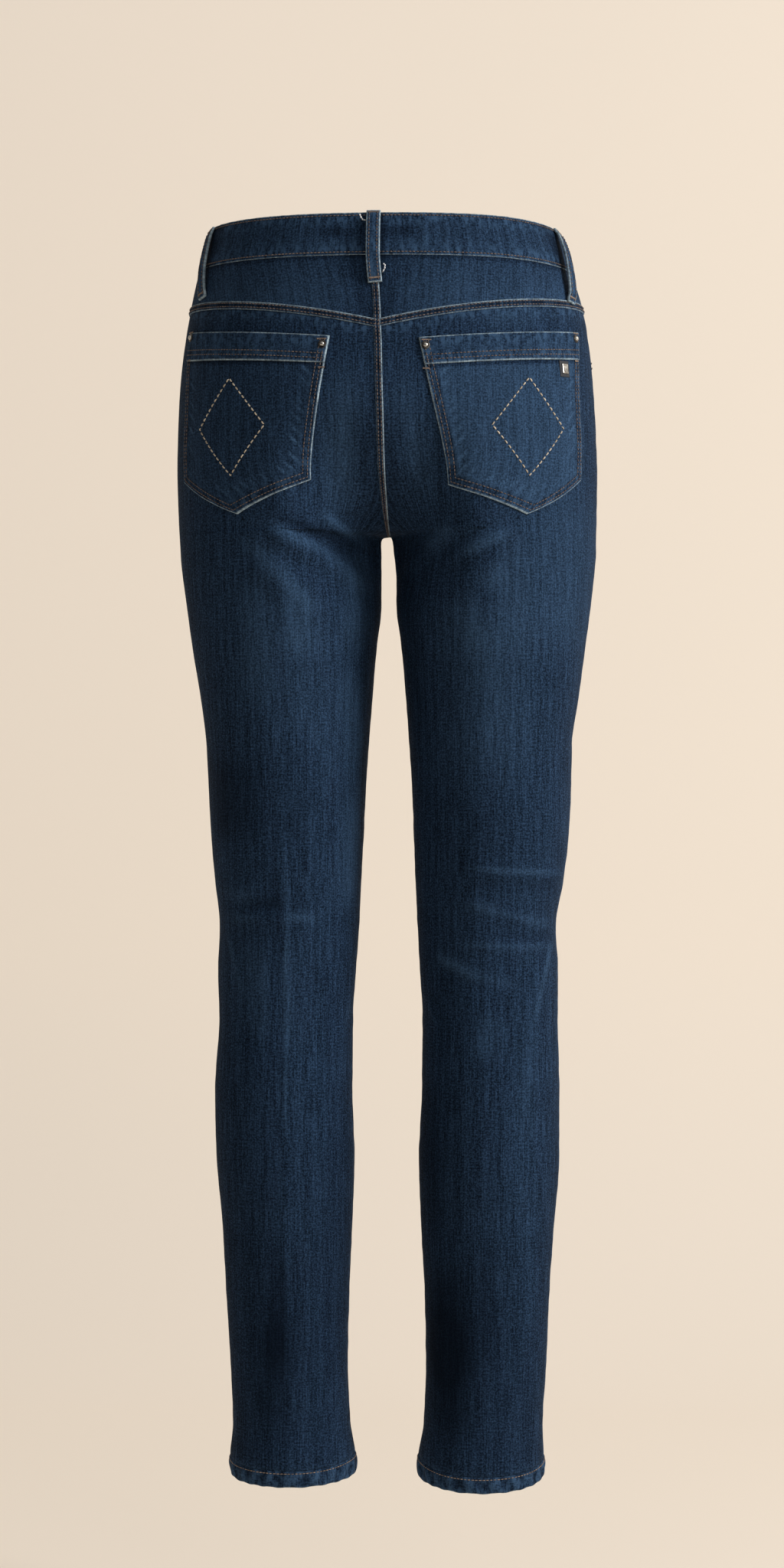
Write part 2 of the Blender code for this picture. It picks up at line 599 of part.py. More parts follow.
def turned(name, centre, axis, profile, metal, segments=14):
    """A round metal piece: the profile (radius, height) in millimetres turned about the axis."""
    axis = axis / np.linalg.norm(axis)
    first = np.cross(axis, (0.0, 0.0, 1.0))
    first /= np.linalg.norm(first)
    second = np.cross(axis, first)
    angle = np.linspace(0.0, 2 * np.pi, segments, endpoint=False)
    ring = np.cos(angle)[:, None] * first + np.sin(angle)[:, None] * second
    verts = [centre + axis * profile[0][1] * MM]
    for radius, height in profile[1:-1]:
        verts.extend(centre + ring * radius * MM + axis * height * MM)
    verts.append(centre + axis * profile[-1][1] * MM)
    faces = []
    rings = len(profile) - 2
    for k in range(segments):
        n = (k + 1) % segments
        faces.append((0, 1 + n, 1 + k))
        for r in range(rings - 1):
            a, b = 1 + r * segments, 1 + (r + 1) * segments
            faces.append((a + k, a + n, b + n, b + k))
        last = 1 + (rings - 1) * segments
        faces.append((last + k, last + n, len(verts) - 1))
    mesh = bpy.data.meshes.new(name)
    mesh.from_pydata([tuple(v) for v in verts], [], faces)
    mesh.materials.append(metal)
    mesh.shade_smooth()
    obj = bpy.data.objects.new(name, mesh)
    bpy.context.scene.collection.objects.link(obj)
    return obj


# Turned profiles, as pairs of radius and height in millimetres
RIVET = ((0, 0), (3.1, 0), (3.3, 0.4), (2.6, 0.9), (1.9, 0.9), (1.7, 1.5), (0.9, 2.1), (0, 2.25))
BUTTON = ((0, 0), (5.0, 0), (5.0, 1.6), (8.4, 1.8), (8.6, 2.8), (7.6, 3.6), (5.4, 3.2), (0, 3.0))


def on_cloth(surface, distance, drop, lift):
    """A point and its outward direction, this far from the centre-back seam and below the waist line."""
    z = -drop * MM
    round_ = surface.from_centre(distance * MM, z)
    point = surface.smooth(round_, z)
    normal = surface.normal(np.array(round_), np.array(z))
    return point + normal * lift * MM, normal


def rivets(name, surface, metal):
    for where, distance, drop in RIVETS[name]:
        point, normal = on_cloth(surface, distance, drop, RIVET_LIFT)
        turned(f"rivet_{name}_{where}", point, normal, RIVET, metal)


def pocket_plate(surface, metal):
    """A small blank bevelled plate near the outer edge of the right pocket, under its band."""
    point, normal = on_cloth(surface, *PLATE_AT, PLATE_LIFT)
    side = np.cross((0.0, 0.0, 1.0), normal)
    side /= np.linalg.norm(side)
    up = np.cross(normal, side)
    half_wide, half_tall, thick, bevel = 5.0, 4.5, 1.2, 0.6
    ring = np.array([(-1, -1), (1, -1), (1, 1), (-1, 1)], float)
    levels = []
    for height, inset in ((0.0, 0.0), (thick - bevel, 0.0), (thick, bevel)):
        x = ring[:, 0] * (half_wide - inset)
        y = ring[:, 1] * (half_tall - inset)
        levels.append(point + (x[:, None] * side + y[:, None] * up + height * normal) * MM)
    verts = np.concatenate(levels)
    faces = [(3, 2, 1, 0), (8, 9, 10, 11)]
    for base in (0, 4):
        for k in range(4):
            n = (k + 1) % 4
            faces.append((base + k, base + n, base + 4 + n, base + 4 + k))
    mesh = bpy.data.meshes.new("pocket_plate")
    mesh.from_pydata(verts.tolist(), [], faces)
    mesh.materials.append(metal)
    obj = bpy.data.objects.new("pocket_plate", mesh)
    bpy.context.scene.collection.objects.link(obj)
    return obj


def fly(surface, cloth):
    """The fly's outer flap, from the waistband down along the centre front, with a rounded lower corner."""
    share = np.linspace(0.0, 1.0, 11)[:, None]
    across = np.linspace(0.0, 1.0, 5)[None, :]
    top = band_bottom(surface.side, -1.0) - 1.0 * MM
    width = FLY_WIDTH * np.sqrt(np.clip(1.0 - np.clip((share - 0.62) / 0.385, 0, 1) ** 2.2, 0.02, 1))
    rounds = -1.0 + 0.004 + across * width
    z = top - share * FLY_LENGTH * MM + 0 * across
    return patch("fly", surface, rounds, z, cloth, FLY_LIFT, FLY_WALL, gap=0.0)


def waist_button(surface, metal):
    z = band_shift(surface.side, BUTTON_AT)
    point = surface.smooth(BUTTON_AT, z)
    normal = surface.normal(BUTTON_AT, z)
    turned("waist_button", point + normal * BUTTON_LIFT * MM, normal, BUTTON, metal, segments=20)


def main():
    clear_scene()
    denim = material("denim", NAVY, 0.85)
    deep = material("denim_deep", DEEP_NAVY, 0.85)
    worn = material("denim_worn", WORN_NAVY, 0.85)
    metal = material("nickel", STEEL, 0.3, 1.0)
    left, right = Side(1), Side(-1)
    for name, surface in (("left", left), ("right", right)):
        panel(f"back_{name}", surface, 1, yoke_seam, BACK_GRID, denim)
        panel(f"front_{name}", surface, -1, pocket_mouth, FRONT_GRID, denim)
        yoke(f"yoke_{name}", surface, deep)
        pocket_facing(f"front_pocket_{name}", surface, deep)
        hem(f"hem_{name}", surface, worn)
        back_pocket(name, surface, POCKETS[name], denim, worn)
        rivets(name, surface, metal)
        loops(name, surface, worn)
    waistband(left, right, worn)
    back_top = band_top(1, 1.0) + 0.8 * MM
    belt_loop("belt_loop_back", left, lambda z: BACK_LOOP_AT + 0 * z, back_top, BACK_LOOP, worn)
    pocket_plate(right, metal)
    fly(left, denim)
    waist_button(left, metal)


main()
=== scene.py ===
# %% [markdown]
# # Skinny jeans in dark stretch denim
# The jeans are an empty garment that keeps the shape of a standing figure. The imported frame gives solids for
# every cut piece. Here each of them gets its cloth: a dense thin shell with its folds, seams, stitching and
# worn edges. All sizes are real ones, in metres, and the origin is the middle of the waist opening.

# %% Load the frame
import json
from functools import partial, reduce

import bpy
import numpy as np
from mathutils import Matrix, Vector

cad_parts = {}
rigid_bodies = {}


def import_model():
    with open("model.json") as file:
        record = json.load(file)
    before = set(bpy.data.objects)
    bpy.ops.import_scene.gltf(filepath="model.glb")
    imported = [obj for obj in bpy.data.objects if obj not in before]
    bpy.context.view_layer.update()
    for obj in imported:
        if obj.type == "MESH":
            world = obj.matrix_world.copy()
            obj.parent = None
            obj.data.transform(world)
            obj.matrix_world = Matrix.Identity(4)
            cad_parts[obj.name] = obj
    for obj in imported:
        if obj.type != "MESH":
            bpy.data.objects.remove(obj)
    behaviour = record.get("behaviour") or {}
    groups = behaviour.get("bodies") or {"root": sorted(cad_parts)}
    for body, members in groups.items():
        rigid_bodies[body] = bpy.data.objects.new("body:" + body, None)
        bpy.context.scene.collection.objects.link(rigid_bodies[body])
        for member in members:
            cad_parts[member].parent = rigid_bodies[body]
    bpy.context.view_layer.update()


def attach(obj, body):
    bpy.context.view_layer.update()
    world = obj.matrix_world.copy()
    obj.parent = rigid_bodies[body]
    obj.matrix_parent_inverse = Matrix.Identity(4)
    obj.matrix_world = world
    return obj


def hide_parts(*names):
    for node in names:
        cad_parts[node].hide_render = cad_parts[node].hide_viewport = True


for startup in list(bpy.data.objects):
    bpy.data.objects.remove(startup, do_unlink=True)
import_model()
MM = 0.001

# %% [markdown]
# ## The body's surface
# A tailor describes a body by sections at a few heights. The table has one row for each section, and smooth
# curves run between the rows. Every piece of cloth lies on this one surface, so the pieces meet along their
# seams without any fitting.

# %% Sections of the garment
# Millimetres: how far the section lies below the waist line, where its middle lies, the half widths of the
# left and right side, half the gap between the legs, how far back and front reach, and the side seam's place.
COLUMNS = ("drop", "middle", "left", "right", "gap", "back", "front", "side")
SECTIONS = (
    (-30, 0, 134.8, 136, 5.5, 100, -104, 0),
    (-17.5, 0, 137.6, 138.5, 5.5, 103, -107, 0),
    (17.5, 0, 147, 150, 5.5, 109, -112, 0),
    (46, -2, 155.6, 156.8, 5.5, 114, -115, 0),
    (71, -3, 161, 161, 5.5, 119, -116, 1),
    (108, -3, 165.4, 165.2, 5.5, 126, -115, 2),
    (144, -3.5, 167.6, 167, 5.5, 130, -112, 4),
    (181, -4, 168.6, 167.8, 5.5, 128, -109, 6),
    (218, -4.7, 168, 166.6, 5.5, 121, -106, 8),
    (250, -5.2, 166.7, 165.4, 5.6, 112, -102, 8),
    (286, -5.1, 162.3, 161.8, 6.1, 102, -97, 7),
    (323, -5.1, 157.4, 156.9, 10.4, 93, -92, 5),
    (360, -5.1, 151.4, 152, 13.5, 85, -84, 4),
    (397, -4.9, 146.7, 146.8, 16.3, 80, -80, 3),
    (434, -4.8, 144.8, 146.1, 18.7, 76, -76, 2),
    (470, -4.6, 142.7, 144.5, 20.2, 72, -71, 2),
    (507, -4.3, 139.3, 140.5, 21.9, 67, -65, 2),
    (544, -4.3, 135.6, 134.4, 23.6, 62, -60, 2),
    (581, -4, 136.6, 136.5, 25.9, 60, -56, 3),
    (617, -4, 135.3, 136.3, 28, 61, -53, 5),
    (673, -3.7, 138.1, 138, 28, 65, -51, 8),
    (728, -3.4, 136.5, 138.2, 25.9, 66, -48, 9),
    (783, -3.4, 131.7, 134, 27.7, 62, -45, 9),
    (838, -3.6, 129, 130, 30.3, 58, -43, 8),
    (894, -3.4, 125.5, 127.8, 31.4, 56, -43, 7),
    (943, -3.4, 123.7, 124.9, 29.3, 55, -43, 6),
    (967, -3.3, 125.6, 125.6, 25.6, 57, -45, 6),
    (982, -3.2, 124.7, 125.6, 25.2, 56.5, -44.5, 6),
    (1000, -3.2, 124.7, 125.6, 25.2, 56, -44, 6),
)
TABLE = dict(zip(COLUMNS, np.array(SECTIONS).T))
CROTCH_DROP, CROTCH_ARCH = 232, 4.5
CROTCH_FILL = {1: 0.4, -1: 3.4}
RISE = {"back": 112, "front": 80}
LEG_POWER, BODY_POWER, BODY_ROOT = 2.12, 2.35, 2.1
LEG_FROM_TO = (140, 380)


def through(xs, ys, x):
    """Smooth curve through points: cubic Hermite pieces whose slope at a point is the harmonic mean of the
    slopes of the two chords beside it, or 0 where they turn back, so the curve never overshoots."""
    x = np.clip(x, xs[0], xs[-1])
    chord = np.diff(ys) / np.diff(xs)
    product = chord[1:] * chord[:-1]
    total = np.where(product > 0, chord[1:] + chord[:-1], 1)
    slope = np.concatenate([[0], np.where(product > 0, 2 * product / total, 0), [0]])
    i = np.clip(np.searchsorted(xs, x, side="right") - 1, 0, len(xs) - 2)
    span = xs[i + 1] - xs[i]
    t = (x - xs[i]) / span
    return (
        (2 * t**3 - 3 * t**2 + 1) * ys[i]
        + (t**3 - 2 * t**2 + t) * span * slope[i]
        + (3 * t**2 - 2 * t**3) * ys[i + 1]
        + (t**3 - t**2) * span * slope[i + 1]
    )


def size_at(column, z):
    """A section size in metres at height z in metres."""
    return through(TABLE["drop"], TABLE[column], -z / MM) * MM


def smooth_step(low, high, x):
    """0 below low and 1 above high, with the cubic 3t^2 - 2t^3 between them."""
    t = np.clip((x - low) / (high - low), 0, 1)
    return t * t * (3 - 2 * t)


def hump(off, half, power=2):
    """1 at the middle, falling off on both sides as exp(-(off/half)^power)."""
    return np.exp(-((off / half) ** power))


def run_length(points):
    """Length along a chain of points, 0 at the first one."""
    return np.concatenate([[0], np.cumsum(np.linalg.norm(np.diff(points, axis=0), axis=1))])


def heights():
    """Levels of the lookup table, close together near the crotch, where the seat and the legs meet."""
    above = -CROTCH_DROP + RISE["back"] * (1 - np.cos(np.linspace(0, np.pi / 2, 49)))
    below = -CROTCH_DROP - CROTCH_ARCH * (1 - np.cos(np.linspace(0, np.pi / 2, 13)[1:]))
    top = np.linspace(above[-1], 30, 90)[1:]
    legs = np.linspace(below[-1], -1000, 380)[1:]
    return np.concatenate([legs[::-1], below[::-1], above, top]) * MM


def half_section(side, level):
    """One side's section at each level, as back and front points from the outer to the inner end.

    y is the side seam's place plus the reach times a profile of the share x across. The outer curve turns
    from the body's half oval into a leg's superellipse on the way down. The inner curve closes a leg at the
    inseam, and above the crotch it opens at the middle as the quarter circle sqrt(1 - (1 - t)^2).
    """
    across = 0.5 + 0.5 * np.cos(np.linspace(0, np.pi, 221)[None, :])
    z = level[:, None]
    drop = -z / MM
    outer = size_at("left" if side > 0 else "right", z)
    below = np.clip((drop - CROTCH_DROP) / CROTCH_ARCH, 0, 1)
    gap = size_at("gap", z) - CROTCH_FILL[side] * MM * smooth_step(268, CROTCH_DROP, drop)
    inner = gap * np.sqrt(1 - (1 - below) ** 2)
    x = inner + (outer - inner) * across
    leg = (1 - np.clip(2 * across - 1, 0, 1) ** LEG_POWER) ** (1 / LEG_POWER)
    body = (1 - across**BODY_POWER) ** (1 / BODY_ROOT)
    is_leg = smooth_step(*LEG_FROM_TO, drop)
    outer_curve = leg * is_leg + body * (1 - is_leg)
    soft = 0.5 + 0.5 * smooth_step(CROTCH_DROP + 70, CROTCH_DROP, drop)
    closing = np.sin(np.pi * np.clip(across, 0, 0.5)) ** soft
    away = smooth_step(0, 0.42, across)
    found = []
    for column, rise in RISE.items():
        share = np.clip((CROTCH_DROP - drop) / rise, 0, 1)
        opening = np.sqrt(1 - (1 - share) ** 2) * (1 - away) + smooth_step(0, 1, share) * away
        profile = outer_curve * (closing + (1 - closing) * opening)
        seam = size_at("side", z)
        y = seam + (size_at(column, z) - seam) * profile
        found.append(np.stack([size_at("middle", z) + side * x, y + 0 * x, z + 0 * x], axis=-1))
    return found


print("sections:", len(SECTIONS), "levels:", len(heights()))

# %% [markdown]
# ## Reading a point of the cloth
# A point has two coordinates. "round" is 0 at the side seam, 1 at the centre back or the inseam, and -1 at
# the centre front or the inseam. "z" is the height. A lookup table turns them into a place, and the cross
# product of the slopes round the body and down it gives the outward direction.


# %% One side of the body
class Side:
    """The cloth's surface on one side, 1 for the wearer's left and -1 for the right."""

    ROUND = np.linspace(-1.3, 1.3, 521)
    CREASE = 0.08

    def __init__(self, side):
        self.side = side
        self.level = heights()
        self.length, self.rows, self.to_crease = [], [], []
        middle = size_at("middle", self.level)[:, None]
        for points in half_section(side, self.level):
            steps = np.linalg.norm(np.diff(points, axis=1), axis=2)
            along = np.concatenate([np.zeros((len(points), 1)), np.cumsum(steps, axis=1)], axis=1)
            self.length.append(along[:, -1])
            self.rows.append((points, along / along[:, -1:]))
            inwards = self.CREASE - side * (points[..., 0] - middle)
            self.to_crease.append(np.array([np.interp(0, x, a) for x, a in zip(inwards, along)]))
        self.table = np.array([self.closed_row(k) for k in range(len(self.level))])

    def read(self, half, k, share):
        points, along = self.rows[half][0][k], self.rows[half][1][k]
        return np.stack([np.interp(share, along, points[:, n]) for n in range(3)], axis=-1)

    def closed_row(self, k):
        """Row k of the table. Past the inner end it goes on round the leg, or on the body's other side."""
        around = self.ROUND
        ratio = self.length[0][k] / self.length[1][k]
        over_back, over_front = around > 1, around < -1
        back = self.read(0, k, np.where(over_back, 2 - around, around).clip(0, 1))
        front = self.read(1, k, np.where(over_front, 2 + around, -around).clip(0, 1))
        if self.level[k] < -CROTCH_DROP * MM - 1e-9:
            on_front = self.read(1, k, (1 - (around - 1) * ratio).clip(0, 1))
            on_back = self.read(0, k, (1 - (-around - 1) / ratio).clip(0, 1))
        else:
            on_front, on_back = back.copy(), front.copy()
            middle = size_at("middle", self.level[k])
            on_front[:, 0] = 2 * middle - on_front[:, 0]
            on_back[:, 0] = 2 * middle - on_back[:, 0]
        row = np.where((around >= 0)[:, None], back, front)
        row = np.where(over_back[:, None], on_front, row)
        return np.where(over_front[:, None], on_back, row)

    def smooth(self, round_, z):
        """Points of the cloth without folds, read between the table's four nearest entries."""
        round_, z = np.broadcast_arrays(np.asarray(round_, float), np.asarray(z, float))
        row = np.interp(z, self.level, np.arange(len(self.level)))
        column = (round_ - self.ROUND[0]) / (self.ROUND[1] - self.ROUND[0])
        r0 = np.clip(row.astype(int), 0, len(self.level) - 2)
        c0 = np.clip(column.astype(int), 0, len(self.ROUND) - 2)
        fr, fc = (row - r0)[..., None], (column - c0)[..., None]
        upper = self.table[r0 + 1, c0] * (1 - fc) + self.table[r0 + 1, c0 + 1] * fc
        lower = self.table[r0, c0] * (1 - fc) + self.table[r0, c0 + 1] * fc
        return lower * (1 - fr) + upper * fr

    def girth(self, z, half):
        """Length along the cloth from the side seam to the back's middle (half 0) or the front's (1)."""
        return np.interp(z, self.level, self.length[half])

    def grain(self, round_, z, half):
        """Length along the cloth from the crease line, which is 80 mm from the middle. The warp threads
        run beside that line, so this is the weave's crosswise coordinate."""
        crease = np.interp(z, self.level, self.to_crease[half])
        return np.abs(round_) * self.girth(z, half) - crease

    def from_centre(self, distance, z):
        """The round coordinate that lies this far, in metres, from the centre-back seam."""
        return 1 - distance / self.girth(z, 0)

    def outward(self, round_, z, rise=4 * MM):
        """Unit vectors across the slope round the body and the slope down it."""
        down = self.smooth(round_, z - rise) - self.smooth(round_, z + rise)
        return self.across(round_, z, down)

    def across(self, round_, z, down):
        around = self.smooth(round_ + 0.02, z) - self.smooth(round_ - 0.02, z)
        return unit(np.cross(down, around) * self.side)


def unit(vectors):
    return vectors / np.maximum(np.linalg.norm(vectors, axis=-1, keepdims=True), 1e-12)


LEFT, RIGHT = Side(1), Side(-1)
SIDES = (("left", LEFT), ("right", RIGHT))
print("hip girth in mm:", round(2000 * (LEFT.girth(-0.18, 0) + LEFT.girth(-0.18, 1))))

# %% [markdown]
# ## Folds, fades and painted light
# Cloth that is pulled round a seat and knees makes a few soft ridges and troughs. Each is placed as a line
# with a smooth hump across it. Denim also loses its dye where it rubs, so a second table of lines says where
# the cloth is paler. The same table also paints highlights on the lit flanks of folds and creases, and
# painted shade in the troughs and on the darker sides of creases and legs.

# %% Folds
# For each side (1 left, -1 right): distance from the middle and depth of one end, the same for the other
# end, half the width, and the height, negative in a trough. All in millimetres.
BACK_FOLDS = {
    1: (
        (83, 225, 16, 252.5, 4.5, -2.1),
        (86, 232, 16, 272, 7, 2.6),
        (48, 220, 12, 245, 5, 2.2),
        (35.5, 221.5, 6.4, 221.5, 4, -1.2),
        (97, 258, 68, 284, 10, 2),
        (90, 246, 45, 268, 6, -1.5),
        (70, 536, 126, 535, 6, 1.3),
        (96, 514, 126, 518, 6, 0.9),
        (80, 525, 122, 527, 5, -0.9),
        (79, 470, 74, 925, 2.6, 0.75),
        (85, 470, 80, 925, 4, -0.35),
        (126, 546, 112, 598, 2.6, 0.5),
        (21.5, 573, 33, 622, 2.6, 0.5),
    ),
    -1: (
        (14, 262, 56, 232, 6.5, 2.2),
        (30, 254, 100, 226, 4.5, -1.5),
        (54, 255, 108, 231, 6, 1.9),
        (54, 268, 97, 240, 5, -1),
        (66, 496, 146, 501, 7, 1.5),
        (74, 507, 138, 512, 5, -0.7),
        (70, 557, 136, 558, 6, 1.3),
        (60, 522, 137, 543, 6, 1.2),
        (92, 547, 137, 550, 5, -0.8),
        (42, 566, 74, 583, 5, 1),
        (46, 577, 90, 596, 6, -0.7),
        (82, 520, 78, 900, 2.4, 0.2),
        (131.5, 556, 119, 616, 2.6, 0.5),
        (32, 600, 42, 624, 2.6, 0.5),
    ),
}
FRONT_FOLDS = {
    1: (
        (20, 205, 96, 176, 12, 2.4),
        (24, 228, 88, 214, 8, 1.3),
        (44, 556, 118, 566, 11, 2),
        (58, 530, 104, 522, 7, 0.8),
        (50, 590, 96, 598, 8, 0.8),
    ),
    -1: (
        (20, 203, 100, 172, 12, 2.4),
        (22, 230, 80, 212, 8, 1.2),
        (40, 564, 112, 552, 11, 2),
        (52, 536, 108, 528, 7, 0.9),
        (56, 596, 104, 588, 8, 0.7),
    ),
}


def line_marks(rows, side, reach, drop):
    """Sum of humps: each is exp(-(off/half)^2) across its line and fades out past both of its ends."""
    total = np.zeros(np.broadcast(reach, drop).shape)
    for x0, d0, x1, d1, half, size in rows[side]:
        length = np.hypot(x1 - x0, d1 - d0)
        along = ((reach - x0) * (x1 - x0) + (drop - d0) * (d1 - d0)) / length**2
        off = ((reach - x0) * (d1 - d0) - (drop - d0) * (x1 - x0)) / length
        fade = smooth_step(-0.15, 0.25, along) * smooth_step(1.15, 0.7, along)
        total += fade * size * hump(off, half)
    return total


def located(side, points):
    """Distance from the middle, depth below the waist line, and how far a point lies on back or front."""
    reach = side * (points[..., 0] - size_at("middle", points[..., 2])) / MM
    behind = (points[..., 1] - size_at("side", points[..., 2])) / MM
    return reach, -points[..., 2] / MM, smooth_step(4, 30, behind), smooth_step(4, 30, -behind)


def fold_height(side, points):
    """Height of the folds in metres, back folds on the back and front folds on the front."""
    reach, drop, back, front = located(side, points)
    folds = back * line_marks(BACK_FOLDS, side, reach, drop)
    return (folds + front * line_marks(FRONT_FOLDS, side, reach, drop)) * MM


print("folds on the left:", len(BACK_FOLDS[1]) + len(FRONT_FOLDS[1]))

# %% Fades and painted light
# The same columns as the folds, with a share in place of the height: dye loss, and painted highlights on the
# lit flanks of folds and creases. Negative rows are painted shade in troughs, beside creases and on the darker
# sides of the legs.
BACK_FADES_AND_PAINTED_LIGHT = {
    1: (
        (84, 229, 44, 248, 5.2, 0.55),
        (46, 247, 14, 278, 6.5, 0.4),
        (46, 219, 12, 244, 4.4, 0.5),
        (104, 241, 54, 292, 6.5, 0.44),
        (62, 280, 66, 330, 14, 0.35),
        (73, 225.5, 10.6, 246.3, 5, -0.6),
        (22, 110, 34, 220, 15, 0.34),
        (60, 300, 70, 440, 30, 0.14),
        (100, 270, 98, 370, 14, 0.28),
        (18, 235, 26, 330, 10, 0.4),
        (28, 340, 18, 430, 12, 0.36),
        (18, 430, 24, 530, 12, 0.6),
        (112, 410, 112, 475, 22, -0.45),
        (66, 390, 70, 480, 14, -0.3),
        (98, 560, 88, 640, 20, 0.26),
        (62, 620, 64, 850, 16, 0.14),
        (83, 800, 82, 905, 12, -0.45),
        (88, 850, 86, 950, 15, -0.42),
        (131, 405, 128, 480, 9, -0.4),
        (2, 150, 4, 226, 11, -0.3),
        (36, 760, 40, 905, 16, -0.16),
        (78.5, 472, 74, 925, 1.2, 0.44),
        (78.6, 474, 75, 640, 1.2, 0.3),
        (87, 478, 84, 640, 6, -0.35),
        (126, 546, 112, 598, 1.4, 0.4),
        (21.5, 573, 33, 622, 1.4, 0.6),
        (54, 536, 78, 535, 3.5, 0.4),
        (96, 535, 126, 535, 4, 0.24),
        (98, 515, 126, 518, 5, 0.22),
        (80, 524, 108, 526, 6, -0.4),
    ),
    -1: (
        (32, 243, 56, 231, 5, 0.5),
        (62, 251, 101, 233, 5, 0.48),
        (80, 278, 96, 262, 9, 0.34),
        (52, 266, 92, 246, 4, -0.3),
        (58, 285, 78, 330, 12, 0.22),
        (102, 236, 108, 330, 14, 0.26),
        (20, 110, 30, 210, 13, 0.22),
        (82, 290, 92, 430, 26, 0.3),
        (78, 440, 78, 500, 24, -0.16),
        (142, 200, 142, 330, 26, 0.26),
        (138, 470, 138, 560, 12, -0.26),
        (48, 810, 50, 905, 20, -0.6),
        (46, 850, 52, 950, 20, -0.6),
        (8, 150, 10, 228, 14, -0.3),
        (20, 270, 28, 390, 7, -0.35),
        (84, 70, 124, 66, 10, 0.22),
        (98, 525, 100, 545, 9, -0.2),
        (38, 670, 40, 800, 8, -0.3),
        (82, 790, 82, 905, 14, -0.18),
        (86, 610, 80, 650, 12, 0.22),
        (80, 620, 84, 860, 26, 0.12),
        (116, 610, 112, 860, 14, 0.28),
        (66, 496, 150, 501, 2.6, 0.5),
        (66, 508, 140, 512, 6, -0.3),
        (62, 523, 138, 543, 4.5, 0.36),
        (60, 557, 138, 558, 3, 0.3),
        (92, 549, 136, 551, 4, -0.3),
        (42, 566, 74, 582, 4.5, 0.55),
        (72, 581, 106, 588, 4.5, 0.2),
        (131.5, 556, 119, 616, 1.4, 0.55),
        (32, 600, 42, 624, 1.4, 0.3),
    ),
}
FRONT_RUBBED = ((84, 240, 86, 440, 26, 0.42), (84, 500, 84, 620, 28, 0.36), (82, 660, 80, 860, 24, 0.2))
FRONT_FADES = {
    1: (*FRONT_RUBBED, (20, 204, 100, 176, 7, 0.3)),
    -1: (*FRONT_RUBBED, (20, 202, 104, 172, 7, 0.3)),
}

# Painted shade on the lower legs: its strength, and the depths in mm where it begins and where it is full.
CALF_SHADE, CALF_FROM_TO = 0.26, (560, 760)


def fading_and_painted_light(side, points):
    """Share of dye loss and painted highlight at each point, up to 1. Below 0 it is painted shade, darker than
    the rest, in valleys and from the calves down."""
    reach, drop, back, front = located(side, points)
    lost_dye_and_painted_light = back * line_marks(BACK_FADES_AND_PAINTED_LIGHT, side, reach, drop)
    lost_dye_and_painted_light = lost_dye_and_painted_light + front * line_marks(FRONT_FADES, side, reach, drop)
    return np.clip(lost_dye_and_painted_light - CALF_SHADE * smooth_step(*CALF_FROM_TO, drop), -1, 1)


print("fades on the left:", len(BACK_FADES_AND_PAINTED_LIGHT[1]) + len(FRONT_FADES[1]))

# %% [markdown]
# ## Denim, thread and metal
# Denim has dark warp threads over pale weft. From a step away that reads as fine upright streaks with small
# slubs, crossed by shorter ones. The streaks, the rubbed seams and the patches beside them are node groups,
# and each cloth places them with its own colours. All patterns read the cloth's own UV map, in metres.


# %% Node helpers
def group(name, inputs, outputs):
    """A new shader node group with named sockets, and its input and output nodes."""
    tree = bpy.data.node_groups.new(name, "ShaderNodeTree")
    for title, kind in inputs:
        tree.interface.new_socket(title, in_out="INPUT", socket_type=kind)
    for title, kind in outputs:
        tree.interface.new_socket(title, in_out="OUTPUT", socket_type=kind)
    return tree, tree.nodes.new("NodeGroupInput"), tree.nodes.new("NodeGroupOutput")


def connect(tree, node, values):
    """Sets each input to its value, or links it to its socket."""
    for title, value in values.items():
        if isinstance(value, bpy.types.NodeSocket):
            tree.links.new(value, node.inputs[title])
        else:
            node.inputs[title].default_value = value
    return node


def math_node(tree, operation, first, second):
    node = connect(tree, tree.nodes.new("ShaderNodeMath"), {0: first, 1: second})
    node.operation = operation
    return node.outputs[0]


def operations(tree):
    """Multiply and add as two functions that make a node in this tree."""
    return partial(math_node, tree, "MULTIPLY"), partial(math_node, tree, "ADD")


def noise(tree, vector, scale, detail=2):
    """Noise stretched by a scale along each direction, in cycles for each metre."""
    mapping = connect(tree, tree.nodes.new("ShaderNodeMapping"), {"Vector": vector, "Scale": scale})
    values = {"Vector": mapping.outputs[0], "Scale": 1, "Detail": detail}
    return connect(tree, tree.nodes.new("ShaderNodeTexNoise"), values).outputs["Fac"]


def ramp(tree, value, low, high, out_low=0, out_high=1):
    """A smooth step from one value to another."""
    values = {"Value": value, "From Min": low, "From Max": high, "To Min": out_low, "To Max": out_high}
    node = connect(tree, tree.nodes.new("ShaderNodeMapRange"), values)
    node.interpolation_type = "SMOOTHSTEP"
    return node.outputs["Result"]


def weave_group():
    """Tone and height of the weave: the weighted sum of upright slubs, shorter cross slubs, fine grain,
    broad streaks and mottling, raised to a power so that the pale specks are few and bright."""
    tree, given, result = group(
        "weave", [("Vector", "NodeSocketVector")], [("Tone", "NodeSocketFloat"), ("Height", "NodeSocketFloat")]
    )
    vector = given.outputs["Vector"]
    times, plus = operations(tree)
    warp = noise(tree, vector, (950, 42, 1))
    weft = noise(tree, vector, (120, 900, 1), detail=1)
    grain = noise(tree, vector, (680, 680, 1), detail=3)
    broad = noise(tree, vector, (230, 9, 1))
    mottle = noise(tree, vector, (480, 240, 1))
    # Each pattern with the values between which it rises, and its weight.
    layers = ((warp, 0.38, 0.66, 0.24), (weft, 0.38, 0.68, 0.13), (grain, 0.4, 0.62, 0.4))
    layers += ((broad, 0.36, 0.64, 0.14), (mottle, 0.36, 0.66, 0.09))
    tone = reduce(plus, [times(ramp(tree, *rise), weight) for *rise, weight in layers])
    height = plus(times(warp, 0.6), times(grain, 0.5))
    connect(tree, result, {"Tone": math_node(tree, "POWER", tone, 1.4), "Height": height})
    return tree


